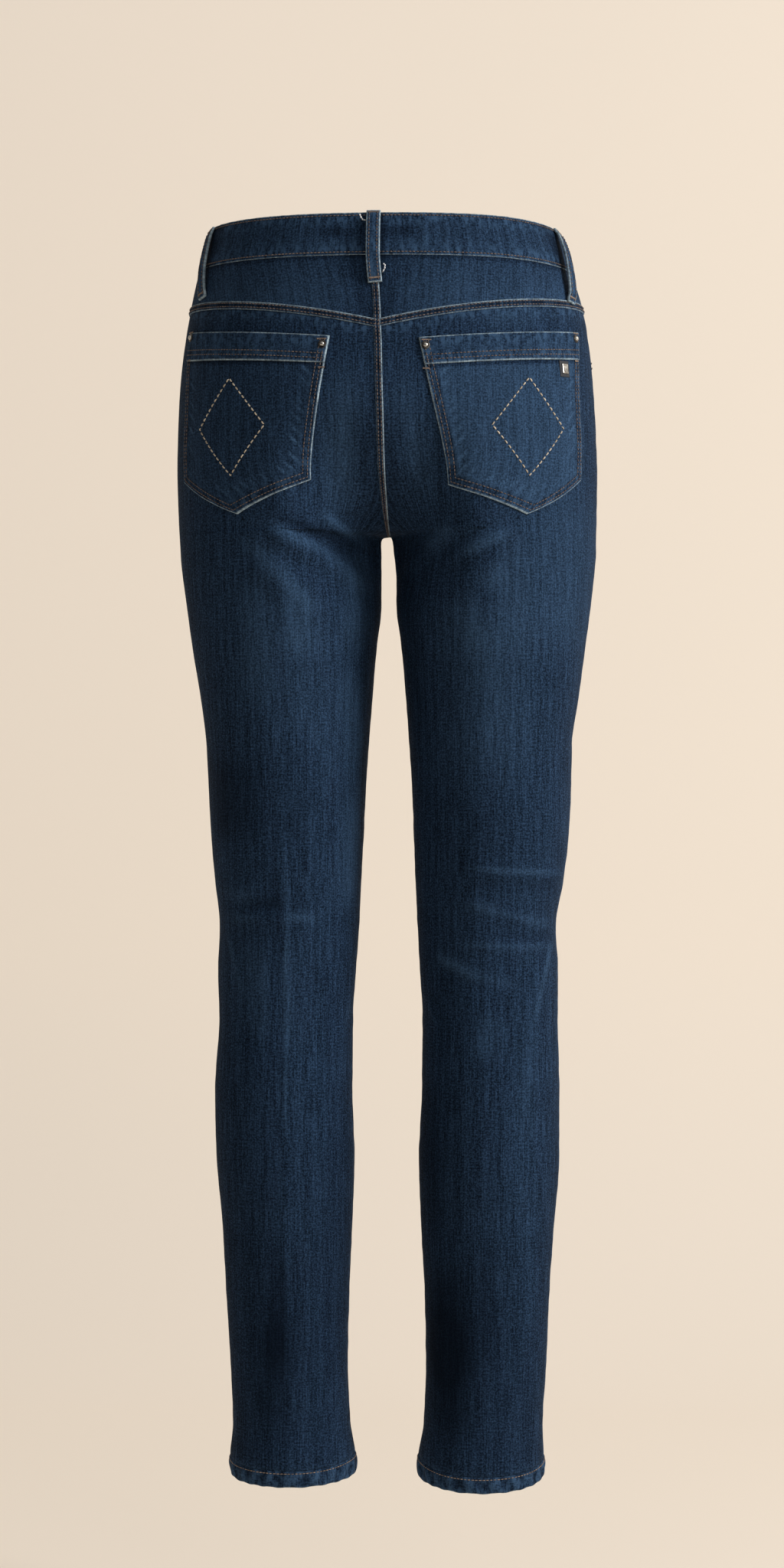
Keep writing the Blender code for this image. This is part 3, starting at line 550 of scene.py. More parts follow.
def wear_group():
    """Masks from the distance to a seam or edge: a thin rubbed line, and soft patches beside it."""
    inputs = [("Vector", "NodeSocketVector"), ("Edge", "NodeSocketFloat")]
    outputs = [("Line", "NodeSocketFloat"), ("Patches", "NodeSocketFloat")]
    tree, given, result = group("wear", inputs, outputs)
    vector, edge = given.outputs["Vector"], given.outputs["Edge"]
    times, plus = operations(tree)
    ragged = times(noise(tree, vector, (420, 420, 1)), 0.0009)
    line = ramp(tree, plus(edge, ragged), 0.0007, 0.0019, 1, 0)
    uneven = ramp(tree, noise(tree, vector, (70, 70, 1)), 0.25, 0.6, 0.45, 1)
    patches = ramp(tree, noise(tree, vector, (240, 130, 1), 3), 0.45, 0.62)
    beside = ramp(tree, edge, 0.004, 0.014, 1, 0)
    connect(tree, result, {"Line": times(line, uneven), "Patches": times(patches, beside)})
    return tree


WEAVE, WEAR = weave_group(), wear_group()
print("groups:", WEAVE.name, WEAR.name)


# %% Cloth materials
def new_material(name):
    made = bpy.data.materials.new(name)
    made.use_nodes = True
    return made, made.node_tree, made.node_tree.nodes["Principled BSDF"]


def bumped(tree, height, strength, distance):
    values = {"Height": height, "Strength": strength, "Distance": distance}
    return connect(tree, tree.nodes.new("ShaderNodeBump"), values).outputs["Normal"]


def mix_colour(tree, share, first, second):
    """Two colours, each a tuple or a socket, mixed by a socket's value."""
    node = tree.nodes.new("ShaderNodeMix")
    node.data_type = "RGBA"
    first, second = ((*value, 1) if isinstance(value, tuple) else value for value in (first, second))
    return connect(tree, node, {"Factor": share, 6: first, 7: second}).outputs[2]


def attribute(tree, name):
    node = tree.nodes.new("ShaderNodeAttribute")
    node.attribute_name = name
    return node.outputs["Fac"]


def placed(tree, made, values):
    """The group as a node with its inputs linked."""
    node = tree.nodes.new("ShaderNodeGroup")
    node.node_tree = made
    return connect(tree, node, values)


def cloth_material(name, dark, light, faded_and_highlight, rubbed, bump):
    """Denim: the weave's tone mixes dark and light dye. Faded places, painted highlights and rubbed seams take
    it towards pale, and painted shade takes it back towards the dark dye.
    """
    made, tree, shader = new_material(name)
    times, plus = operations(tree)
    uv = tree.nodes.new("ShaderNodeUVMap")
    uv.uv_map = "cloth"
    weave = placed(tree, WEAVE, {"Vector": uv.outputs["UV"]})
    wear = placed(tree, WEAR, {"Vector": uv.outputs["UV"], "Edge": attribute(tree, "edge")})
    tone, fade = weave.outputs["Tone"], attribute(tree, "fade")
    colour = mix_colour(tree, tone, dark, light)
    # Above 0 the fade value is dye loss and painted highlight, mixed towards the pale colour.
    lost_dye_and_painted_light = times(math_node(tree, "MAXIMUM", fade, 0), plus(tone, 0.35))
    colour = mix_colour(tree, lost_dye_and_painted_light, colour, faded_and_highlight)
    # Below 0 the fade value is painted shade, mixed towards the dark dye; it also holds back the pale patches.
    deep = times(math_node(tree, "MAXIMUM", times(fade, -1), 0), 0.85)
    colour = mix_colour(tree, deep, colour, dark)
    spared = math_node(tree, "SUBTRACT", 0.5, times(deep, 0.5))
    colour = mix_colour(tree, times(wear.outputs["Patches"], spared), colour, faded_and_highlight)
    colour = mix_colour(tree, times(wear.outputs["Line"], plus(tone, 0.4)), colour, rubbed)
    roughness = ramp(tree, tone, 0, 1, 0.94, 0.78)
    normal = bumped(tree, weave.outputs["Height"], bump, 0.0004)
    connect(tree, shader, {"Base Color": colour, "Roughness": roughness, "Normal": normal})
    sheen = {"Sheen Weight": 0.012, "Sheen Roughness": 0.5, "Sheen Tint": (0.45, 0.65, 1, 1)}
    connect(tree, shader, {"Specular IOR Level": 0.05, **sheen})
    return made


DARK, LIGHT = (0.0016, 0.0044, 0.0105), (0.0305, 0.068, 0.14)
FADED_AND_HIGHLIGHT, RUBBED = (0.047, 0.099, 0.186), (0.34, 0.44, 0.5)
BACK_DARK, BACK_LIGHT, BACK_FADED_AND_HIGHLIGHT = (0.075, 0.095, 0.125), (0.3, 0.34, 0.39), (0.3, 0.36, 0.4)
DENIM = cloth_material("dark_denim", DARK, LIGHT, FADED_AND_HIGHLIGHT, RUBBED, 0.7)
REVERSE = cloth_material("denim_reverse", BACK_DARK, BACK_LIGHT, BACK_FADED_AND_HIGHLIGHT, RUBBED, 0.6)
print("cloths:", DENIM.name, REVERSE.name)


# %% Thread and metal
def plain_material(name, first, second, scale, roughness, metallic, bump):
    """Two colours mixed by fine noise on Object coordinates, with a little bump from the same noise."""
    made, tree, shader = new_material(name)
    where = tree.nodes.new("ShaderNodeTexCoord").outputs["Object"]
    mask = ramp(tree, noise(tree, where, (scale, scale, scale)), 0.3, 0.7)
    colour = mix_colour(tree, mask, first, second)
    rough = ramp(tree, mask, 0, 1, *roughness)
    normal = bumped(tree, mask, bump, 0.0003)
    connect(tree, shader, {"Base Color": colour, "Roughness": rough, "Metallic": metallic, "Normal": normal})
    return made


# Each with its darker and lighter colour, the noise in cycles for each metre, the roughness from and to,
# how metallic it is, and the bump.
FINE = {
    "thread_brown": ((0.05, 0.036, 0.032), (0.15, 0.116, 0.104), 260, (0.6, 0.8), 0, 0.3),
    "thread_copper": ((0.11, 0.078, 0.06), (0.28, 0.205, 0.16), 300, (0.5, 0.7), 0, 0.3),
    "thread_cream": ((0.33, 0.27, 0.19), (0.62, 0.55, 0.44), 220, (0.6, 0.8), 0, 0.3),
    "thread_white": ((0.62, 0.64, 0.66), (0.84, 0.86, 0.88), 220, (0.6, 0.8), 0, 0.3),
    "aged_nickel": ((0.035, 0.032, 0.03), (0.11, 0.1, 0.09), 500, (0.35, 0.5), 1, 0.1),
    "nickel": ((0.4, 0.38, 0.35), (0.68, 0.66, 0.61), 500, (0.3, 0.45), 1, 0.1),
    "dark_backing": ((0.008, 0.01, 0.016), (0.02, 0.024, 0.034), 700, (0.6, 0.8), 0, 0.3),
}
FINE = {name: plain_material(name, *values) for name, values in FINE.items()}
print("threads and metals:", *FINE)

# %% [markdown]
# ## Cloth shells
# A piece of cloth is two grids of points, its face and its reverse, joined by a rim. The face carries a UV
# map in metres and two values at each point: the distance to the nearest seam or edge, and the fade value,
# which is dye loss and painted highlight above 0 and painted shade below 0. The shader turns the distance
# into a crisp rubbed line however coarse the grid is.

# %% Build a shell
CUTS = {}


def mesh_object(name, verts, faces, *materials, smooth=True):
    mesh = bpy.data.meshes.new(name)
    mesh.from_pydata(verts.tolist(), [], faces if isinstance(faces, list) else faces.tolist())
    for material in materials:
        mesh.materials.append(material)
    if smooth:
        mesh.shade_smooth()
    obj = bpy.data.objects.new(name, mesh)
    bpy.context.scene.collection.objects.link(obj)
    return obj


def shell(name, outer, inner, uv, edge, fade, nodes, closed=False):
    """A closed thin shell between two grids. With closed, the last column joins the first one, and uv has
    one more column than the points. CUTS keeps the area of its face."""
    rows, columns = outer.shape[:2]
    number = np.arange(rows * columns).reshape(rows, columns)
    u_number = np.arange(rows * uv.shape[1]).reshape(rows, uv.shape[1])
    if closed:
        number = np.concatenate([number, number[:, :1]], axis=1)
    quads, corners = [], []
    shift = rows * columns

    def add(a, b, c, d, ua, ub, uc, ud):
        quads.append(np.stack([a, b, c, d], axis=-1).reshape(-1, 4))
        corners.append(np.stack([ua, ub, uc, ud], axis=-1).reshape(-1, 4))

    n, u = number, u_number
    cell = (n[:-1, :-1], n[:-1, 1:], n[1:, 1:], n[1:, :-1])
    cell_uv = (u[:-1, :-1], u[:-1, 1:], u[1:, 1:], u[1:, :-1])
    add(cell[0], cell[3], cell[2], cell[1], cell_uv[0], cell_uv[3], cell_uv[2], cell_uv[1])
    face_count = len(quads[0])
    add(*[k + shift for k in cell], *cell_uv)
    rims = [(n[0], u[0]), (n[-1][::-1], u[-1][::-1])]
    if not closed:
        rims += [(n[::-1, 0], u[::-1, 0]), (n[:, -1], u[:, -1])]
    for rim, rim_uv in rims:
        a, b, ua, ub = rim[:-1], rim[1:], rim_uv[:-1], rim_uv[1:]
        add(a, b, b + shift, a + shift, ua, ub, ub, ua)
    faces, face_uv = np.concatenate(quads), np.concatenate(corners)
    verts = np.concatenate([outer.reshape(-1, 3), inner.reshape(-1, 3)])
    corner = verts[faces]
    volume = np.einsum("ij,ij->i", corner[:, 0], np.cross(corner[:, 1], corner[:, 2])).sum()
    volume += np.einsum("ij,ij->i", corner[:, 0], np.cross(corner[:, 2], corner[:, 3])).sum()
    if volume < 0:
        faces, face_uv = faces[:, ::-1], face_uv[:, ::-1]
    obj = mesh_object(name, verts, faces, DENIM, REVERSE)
    mesh = obj.data
    slots = np.zeros(len(faces), np.int32)
    slots[face_count : 2 * face_count] = 1
    mesh.polygons.foreach_set("material_index", slots)
    layer = mesh.uv_layers.new(name="cloth")
    layer.data.foreach_set("uv", uv.reshape(-1, 2)[face_uv.reshape(-1)].astype(np.float32).ravel())
    for title, value in (("edge", edge), ("fade", fade)):
        made = mesh.attributes.new(title, "FLOAT", "POINT")
        flat = np.broadcast_to(value, (rows, columns)).astype(np.float32).ravel()
        made.data.foreach_set("value", np.concatenate([flat, flat]))
    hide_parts(*nodes)
    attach(obj, "root")
    face = verts[faces[:face_count]]
    twice = np.cross(face[:, 2] - face[:, 0], face[:, 3] - face[:, 1])
    CUTS[name] = 0.5 * np.linalg.norm(twice, axis=1).sum()


def cloth_uv(across, down):
    return np.stack(np.broadcast_arrays(across, down), axis=-1)


def close_at_ends(start, stop, count, tightness=0.8):
    """A spread of values whose steps are small at both ends and wide in the middle."""
    t = np.linspace(0, 1, count)
    return start + (stop - start) * (t - tightness * np.sin(2 * np.pi * t) / (2 * np.pi))


def ripple(along, shortest, longest, seed):
    """Uneven waves along a seam: five sines of wavelengths between the two, with seeded phases."""
    chance = np.random.default_rng(seed)
    waves = np.linspace(shortest, longest, 5)
    phases = chance.uniform(0, 2 * np.pi, 5)
    return sum(np.sin(2 * np.pi * along / w + p) for w, p in zip(waves, phases)) / 3


print("shell maker ready")

# %% [markdown]
# ## Edges of the pieces
# Each seam line is a height that depends on how far round the body it is. The same lines bound the pieces on
# both sides of a seam, so yoke and back panel, or waistband and yoke, fit each other.

# %% Seam lines
BAND_HEIGHT, HEM_DROP, HEM_HEIGHT = 34, 982, 13
# How far the waistband's middle lies below the waist line at the side seam, the centre back and front.
BAND_DIP = {1: (3.5, 3.2, 14), -1: (6, 3.2, 14)}
# How far the hem hangs lower behind, on each side.
HEM_TILT = {1: 4, -1: 7}
YOKE_DROP, YOKE_POINT = 54.5, 23
MOUTH_DEPTH, MOUTH_END = 66, 0.6


def band_shift(side, round_):
    """The height of the waistband's middle line, which dips at the centre back and more at the front."""
    at_side, at_back, at_front = BAND_DIP[side]
    behind = np.asarray(round_) > 0
    end = np.where(behind, at_back, at_front)
    return -(at_side + (end - at_side) * smooth_step(0, np.where(behind, 0.55, 1), np.abs(round_))) * MM


def band_edge(side, round_, up):
    """The waistband's upper edge with up 1 and its lower edge with up -1."""
    return band_shift(side, round_) + up * BAND_HEIGHT / 2 * MM


def yoke_seam(side, round_):
    """The yoke's lower edge, which points down towards the centre back as the power 2.2 of the way round."""
    return -(YOKE_DROP + YOKE_POINT * np.abs(round_) ** 2.2) * MM


def pocket_mouth(side, round_):
    """The front pocket's curved mouth, from the waistband at mid front to the side seam."""
    share = np.clip(np.abs(round_) / MOUTH_END, 0, 1)
    end = 1.5 * smooth_step(MOUTH_END + 0.1, MOUTH_END, np.abs(round_))
    return band_edge(side, round_, -1) - (MOUTH_DEPTH * (1 - share**2.6) ** 0.5 + end) * MM


def hem_edge(side, round_, up):
    """The hem's lower edge with up 0 and its upper edge with up 1. It hangs lower behind, and it is a
    little taller where it crosses the inseam and the side seam."""
    low = -(HEM_DROP + HEM_TILT[side] * np.sin(np.pi * np.asarray(round_))) * MM
    taller = 2.6 * hump(1 - np.abs(round_), 0.22) + 1.2 * hump(round_, 0.22)
    return low + up * (HEM_HEIGHT + taller) * MM


print("yoke seam at the centre back in mm:", round(float(yoke_seam(1, 1)) / MM, 1))

# %% [markdown]
# ## Leg panels
# A back panel runs from the yoke to the hem and a front panel from the pocket mouth to the hem. Their rows
# lie level at the side seam, and towards the middle they follow the seat seam down and under to the crotch.

# %% Panels
# Columns, rows above the crotch and rows below it. The first few rows below follow the crotch's arch.
BACK_SIZE, FRONT_SIZE, ARCH_ROWS = (104, 110, 250), (72, 84, 190), 7
# The cloth's thickness, and how deep and how wide it sinks beside a seam.
CLOTH_WALL, SEAM_DEPTH, SEAM_HALF = 1.2 * MM, 0.8 * MM, 1.6 * MM


def seam_spacing(surface, inner_end, start, count):
    """Heights from start down to the crotch that are evenly spaced along the centre seam."""
    z = np.linspace(start, -CROTCH_DROP * MM, 400)
    dense = surface.level[(surface.level > -CROTCH_DROP * MM) & (surface.level < start)]
    z = np.unique(np.concatenate([z, dense]))[::-1]
    points = surface.smooth(np.full_like(z, inner_end), z)
    along = run_length(points)
    return np.interp(np.linspace(0, along[-1], count + 1), along, z)


def panel(name, surface, inner_end, top, size, nodes):
    """One leg panel as a shell. The cloth sinks a little beside its side seam and its inseam."""
    columns, rows_above, rows_below = size
    side = surface.side
    rounds = close_at_ends(0, inner_end, columns)
    crotch = -CROTCH_DROP * MM
    start = float(top(side, inner_end))
    seam_share = (seam_spacing(surface, inner_end, start, rows_above)[:, None] - start) / (crotch - start)
    side_share = np.linspace(0, 1, rows_above + 1)[:, None]
    lean = np.abs(rounds) ** 3
    edge_z = top(side, rounds)
    above = edge_z + (crotch - edge_z) * (side_share * (1 - lean) + seam_share * lean)
    arch = crotch - CROTCH_ARCH * MM * (1 - np.cos(np.linspace(0, np.pi / 2, ARCH_ROWS + 1)[1:, None]))
    bottom = hem_edge(side, rounds, 1)
    below = arch[-1] + (bottom - arch[-1]) * np.linspace(0, 1, rows_below - ARCH_ROWS)[1:, None]
    z = np.concatenate([above, arch + 0 * rounds, below])
    beyond = np.concatenate([2 * z[:1] - z[1:2], z, 2 * z[-1:] - z[-2:-1]])
    column = surface.smooth(rounds + 0 * beyond, beyond)
    normals = surface.across(rounds, z, column[2:] - column[:-2])
    normals[rows_above, -1] = (0, 0, -1)
    flat = column[1:-1]
    half = 0 if inner_end > 0 else 1
    width = surface.girth(z, half)
    from_side = np.abs(rounds) * width
    from_inner = (1 - np.abs(rounds)) * width
    from_hem = z - bottom
    inner_seam = np.where(z < crotch, from_inner, 1)
    seam = np.minimum(from_side, inner_seam)
    relief = -SEAM_DEPTH * hump(seam, SEAM_HALF)
    relief += 0.35 * MM * ripple(from_side, 9 * MM, 23 * MM, 5) * np.exp(-from_hem / (7 * MM))
    relief += 0.22 * MM * ripple(z + 0.3 * from_side, 14 * MM, 39 * MM, 9) * np.exp(-seam / (9 * MM))
    outer = flat + normals * (fold_height(side, flat) + relief)[..., None]
    inner = outer - normals * CLOTH_WALL
    uv = cloth_uv(surface.grain(rounds, z, half), z)
    edge = np.minimum(np.minimum(seam + 0.6 * MM, from_hem + 9 * MM), edge_z - z + 2.6 * MM)
    fade = fading_and_painted_light(side, flat) + 0.34 * hump(from_hem, 3.6 * MM)
    shell(name, outer, inner, uv, edge, fade, nodes)


for word, surface in SIDES:
    panel(f"cloth_back_{word}", surface, 1, yoke_seam, BACK_SIZE, [f"back_{word}"])
    panel(f"cloth_front_{word}", surface, -1, pocket_mouth, FRONT_SIZE, [f"front_{word}"])
print("panel areas in square metres:", {k: round(v, 3) for k, v in CUTS.items()})

# %% [markdown]
# ## Yokes, facings, waistband and hems
# The yoke shapes the seat above the back panels. The waistband is one folded strip with a rolled upper edge,
# and it puckers along its two rows of stitching. The hem is turned up twice. It is stretched when it is
# sewn, so it twists into slanting ridges.


# %% Cloth laid on the surface
def on_cloth(surface, rounds, z, lift):
    """Points at a lift over the folded cloth, and their outward directions."""
    flat, normals = surface.smooth(rounds, z), surface.outward(rounds, z)
    return flat + normals * (fold_height(surface.side, flat) + lift)[..., None], normals


def rolled(distance, radius, depth):
    """A height that falls by depth at an edge, as a quarter circle of the given radius."""
    t = np.clip(distance / radius, 0, 1)
    return -depth * (1 - np.sqrt(1 - (1 - t) ** 2))


def sewn(distance, rows, depth=0.28 * MM, half=0.8 * MM):
    """The low lines that rows of stitches press into cloth, at their distances from its edge."""
    return -depth * sum(hump(distance - row, half) for row in rows)


YOKE_LIFT, FACING_LIFT, BAND_LIFT, HEM_LIFT = 0.2 * MM, -0.6 * MM, 0.6 * MM, 0.5 * MM
YOKE_SIZE, BAND_SIZE, HEM_SIZE, HEM_RIDGES = (110, 34), (260, 30), (230, 20), 21
# Distances of the stitch rows from the waistband's upper and lower edge, and from the hem's upper edge.
ROW_BELOW_TOP, ROW_ABOVE_FOOT, HEM_ROW = 2.6 * MM, 2.4 * MM, 1.8 * MM


def yoke(name, surface, nodes):
    """The yoke sinks beside the side seam. It has painted shadow just below the waistband and painted shade
    along the centre back.
    """
    rounds = close_at_ends(0, 1, YOKE_SIZE[0])[None, :]
    share = np.linspace(0, 1, YOKE_SIZE[1])[:, None]
    side = surface.side
    low, top = yoke_seam(side, rounds), band_edge(side, rounds, -1)
    z = top * (1 - share) + low * share
    width = surface.girth(z, 0)
    across, from_back = rounds * width, (1 - rounds) * width
    relief = 0.25 * MM * ripple(across, 11 * MM, 26 * MM, 3) * np.exp(-(z - low) / (9 * MM))
    relief -= SEAM_DEPTH * hump(across, SEAM_HALF)
    outer, normals = on_cloth(surface, rounds, z, YOKE_LIFT + relief)
    grain = surface.grain(rounds, z, 0)
    # Painted shadow in a thin strip under the waistband's lower edge, and painted shade along the centre back.
    fade = 0.16 - 0.75 * hump(top - z, 2.6 * MM) + 0.14 * smooth_step(6 * MM, 30 * MM, top - z)
    fade = fade - 0.6 * hump(from_back, 12 * MM) - 0.22 * hump(from_back, 36 * MM)
    uv = cloth_uv(grain + 0.12 * z, z - 0.12 * grain)
    shell(name, outer, outer - normals * 1.5 * MM, uv, z - low + 4 * MM, fade, nodes)


def facing(name, surface, nodes):
    """The hip piece that shows inside the front pocket's mouth."""
    rounds = -np.linspace(0, MOUTH_END, 48)[None, :]
    share = np.linspace(0, 1, 26)[:, None]
    side = surface.side
    z = band_edge(side, rounds, -1) * (1 - share) + pocket_mouth(side, rounds) * share
    outer, normals = on_cloth(surface, rounds, z, FACING_LIFT)
    shell(name, outer, outer - normals * MM, cloth_uv(-rounds * surface.girth(z, 1), z), 30 * MM, 0.05, nodes)


# Places along the waistband, in mm from the centre back, where painted shade darkens the band under and beside
# a belt loop.
BAND_SHADES = (0, 151, -163.5)
# Darker marks beside the centre loop, where something sewn inside presses through: place and half width.
BAND_MARKS = ((29, 14), (-20, 12))
# How much darker the cloth is in the marks, and in the painted shade at the loops.
BAND_MARK_AND_SHADE = 0.75


def waistband(name, nodes):
    """One strip round the waist, whose ends meet at the centre front. It puckers near both edges."""
    around = np.linspace(-1, 1, BAND_SIZE[0])
    share = close_at_ends(0, 1, BAND_SIZE[1], 0.85)[:, None]
    parts = []
    for surface, rounds, sign in ((LEFT, around, 1), (RIGHT, around[::-1], -1)):
        side = surface.side
        z = band_edge(side, rounds, 1) * (1 - share) + band_edge(side, rounds, -1) * share
        along = sign * (1 - rounds) * np.where(rounds > 0, surface.girth(0, 0), surface.girth(0, 1))
        parts.append((surface.smooth(rounds, z), surface.outward(rounds, z), along + 0 * z))
    flat, normals, along = (np.concatenate([parts[0][k], parts[1][k][:, 1:]], axis=1) for k in range(3))
    down = share * BAND_HEIGHT * MM + 0 * along
    up = BAND_HEIGHT * MM - down
    pucker = ripple(along, 6 * MM, 17 * MM, 21)
    relief = rolled(down, 1.5 * MM, 1.2 * MM) + rolled(up, MM, 0.8 * MM)
    relief += sewn(down, [ROW_BELOW_TOP], half=MM) + sewn(up, [ROW_ABOVE_FOOT], half=MM)
    relief += 0.22 * MM * pucker * np.exp(-np.minimum(down, up) / (8 * MM))
    outer = flat + normals * (BAND_LIFT + relief)[..., None]
    inner = flat + normals * (BAND_LIFT - 2.2 * MM + 0.5 * rolled(down, 1.5 * MM, -1.2 * MM))[..., None]
    fade = 0.08 + 0.3 * np.clip(pucker, 0, 1) * (0.3 + hump(down - 24 * MM, 6 * MM))
    for at, half in BAND_MARKS:
        mark = hump(along / MM - at, half, 4) * hump(down / MM - 15.5, 4.2, 4)
        fade = fade - BAND_MARK_AND_SHADE * mark * (0.7 + 0.3 * pucker)
    # Painted shade in a strip under and beside each belt loop.
    for at in BAND_SHADES:
        fade = fade - BAND_MARK_AND_SHADE * hump(along / MM - at, 9.5, 4)
    shell(name, outer, inner, cloth_uv(along, -down), np.minimum(down, up + 0.5 * MM), fade, nodes)


def hem(name, surface, nodes, seed):
    """A ring of turned cloth. Slanting ridges run round it, as a sine of the place round the leg plus a
    share of the depth, and its lower edge is rolled."""
    rounds = np.linspace(-1, 1, HEM_SIZE[0] + 1)
    share = close_at_ends(0, 1, HEM_SIZE[1], 0.6)[:, None]
    side = surface.side
    z = hem_edge(side, rounds, 1) * (1 - share) + hem_edge(side, rounds, 0) * share
    flat, normals = surface.smooth(rounds, z), surface.outward(rounds, z)
    leg = surface.girth(-0.98, 0) + surface.girth(-0.98, 1)
    along = (rounds + 1) / 2 * leg
    turn = 2 * np.pi * along / leg
    chance = np.random.default_rng(seed)
    drift = sum(chance.uniform(0.2, 0.9) * np.sin(k * turn + chance.uniform(0, 6.28)) for k in range(1, 6))
    ridge = np.sin(HEM_RIDGES * turn + drift + 2.2 * share)
    belly = np.sin(np.pi * np.clip(share * 1.05, 0, 1)) ** 0.7
    down = share * HEM_HEIGHT * MM
    relief = 0.75 * MM * ridge * belly + rolled(HEM_HEIGHT * MM - down, 2 * MM, 1.5 * MM)
    relief += rolled(down, 0.8 * MM, 0.6 * MM) + 0.5 * MM * belly
    relief += sewn(down, [HEM_ROW], 0.35 * MM, MM)
    outer = flat + normals * (HEM_LIFT + relief)[..., None]
    outer[..., 2] += 0.35 * MM * np.roll(ridge, 2, axis=1) * share**3
    inner = flat - normals * (1.9 * MM + 0.3 * relief)[..., None]
    # Paler on the ridges, where the roping is worn, and painted shade in the troughs between them.
    fade = (0.5 * np.clip(ridge, 0, 1) - 0.4 * np.clip(-ridge, 0, 1)) * belly
    edge = np.minimum(down + 1.5 * MM, HEM_HEIGHT * MM - down + 0.5 * MM)
    shell(name, outer[:, :-1], inner[:, :-1], cloth_uv(along, z), edge, fade[:, :-1], nodes, closed=True)


for number, (word, surface) in enumerate(SIDES):
    yoke(f"cloth_yoke_{word}", surface, [f"yoke_{word}"])
    facing(f"cloth_facing_{word}", surface, [f"front_pocket_{word}"])
    hem(f"cloth_hem_{word}", surface, [f"hem_{word}"], 40 + number)
waistband("cloth_waistband", ["waistband"])
print("shells so far:", len(CUTS))

# %% [markdown]
# ## Back pockets
# A patch pocket is cut with five corners, its edges are turned under and sewn down with two rows. The
# turned edge makes the border thick, so the pocket's height is a function of the distance to its edge.

# %% Pocket shape
# Corners as distance from the centre-back seam and depth below the waist line, in millimetres: inner top,
# outer top, outer low, tip, inner low.
POCKETS = {
    "left": ((36, 84), (180.5, 72), (182, 192), (131, 220), (55.5, 194)),
    "right": ((32.7, 86), (180.5, 74), (179, 192), (135, 221), (57.5, 198.5)),
}
POCKET_BAND = 21.5
POCKET_LIFT, POCKET_BAND_LIFT = 1.95 * MM, 2.55 * MM
# Distances of the stitch rows from the patch's edge and from the band's top, and the border's width.
ROWS_IN, BAND_ROWS, BORDER = (3 * MM, 6.6 * MM), (14.6 * MM, 18.3 * MM), 11 * MM
# Base dye loss on each pocket. The right pocket's larger share is painted light, lighter on the side the light
# comes from.
POCKET_FADE_AND_PAINTED_LIGHT = {"left": 0.1, "right": 0.36}
# How wide and how deep a turned edge is rolled.
TURNED_EDGE = (1.2 * MM, 1.1 * MM)


def pocket_shares(corners):
    """The band's share of the pocket's inner edge, and the tip's place as a share of its width."""
    inner_top, _, outer_low, tip, inner_low = corners
    tip_share = (tip[0] - inner_low[0]) / (outer_low[0] - inner_low[0])
    return POCKET_BAND / (inner_low[1] - inner_top[1]), tip_share


def pocket_place(corners, a, t):
    """A place inside the outline: a runs from the inner to the outer edge, t from the top to the V below.
    Down to the band's lower edge the lines across are straight, and from there they bend into the V."""
    inner_top, outer_top, outer_low, tip, inner_low = np.array(corners) * MM
    share, tip_share = pocket_shares(corners)
    a, t = a[..., None], t[..., None]
    top = inner_top * (1 - a) + outer_top * a
    first = inner_low + (tip - inner_low) * a / tip_share
    second = tip + (outer_low - tip) * (a - tip_share) / (1 - tip_share)
    straight = inner_low * (1 - a) + outer_low * a
    point = np.where(a <= tip_share, first, second) - straight
    return top * (1 - t) + straight * t + point * np.clip((t - share) / (1 - share), 0, 1)


def border_distance(corners, place):
    """Distance to the nearest of the side and lower edges, as distances to straight lines."""
    points = np.array(corners) * MM
    found = []
    for k in (1, 2, 3, 4):
        step, off = points[(k + 1) % 5] - points[k], place - points[k]
        found.append(np.abs(off[..., 0] * step[1] - off[..., 1] * step[0]) / np.hypot(*step))
    return np.min(found, axis=0)


def pocket_cloth(surface, place, lift):
    z = -place[..., 1]
    return on_cloth(surface, surface.from_centre(place[..., 0], z), z, lift)


def patch(name, surface, place, lift, relief, wall, edge, fade, node):
    """A piece of the pocket at these places, as deep as its wall."""
    outer, normals = pocket_cloth(surface, place, lift + relief)
    shell(name, outer, outer - normals * wall, cloth_uv(place[..., 0], -place[..., 1]), edge, fade, [node])


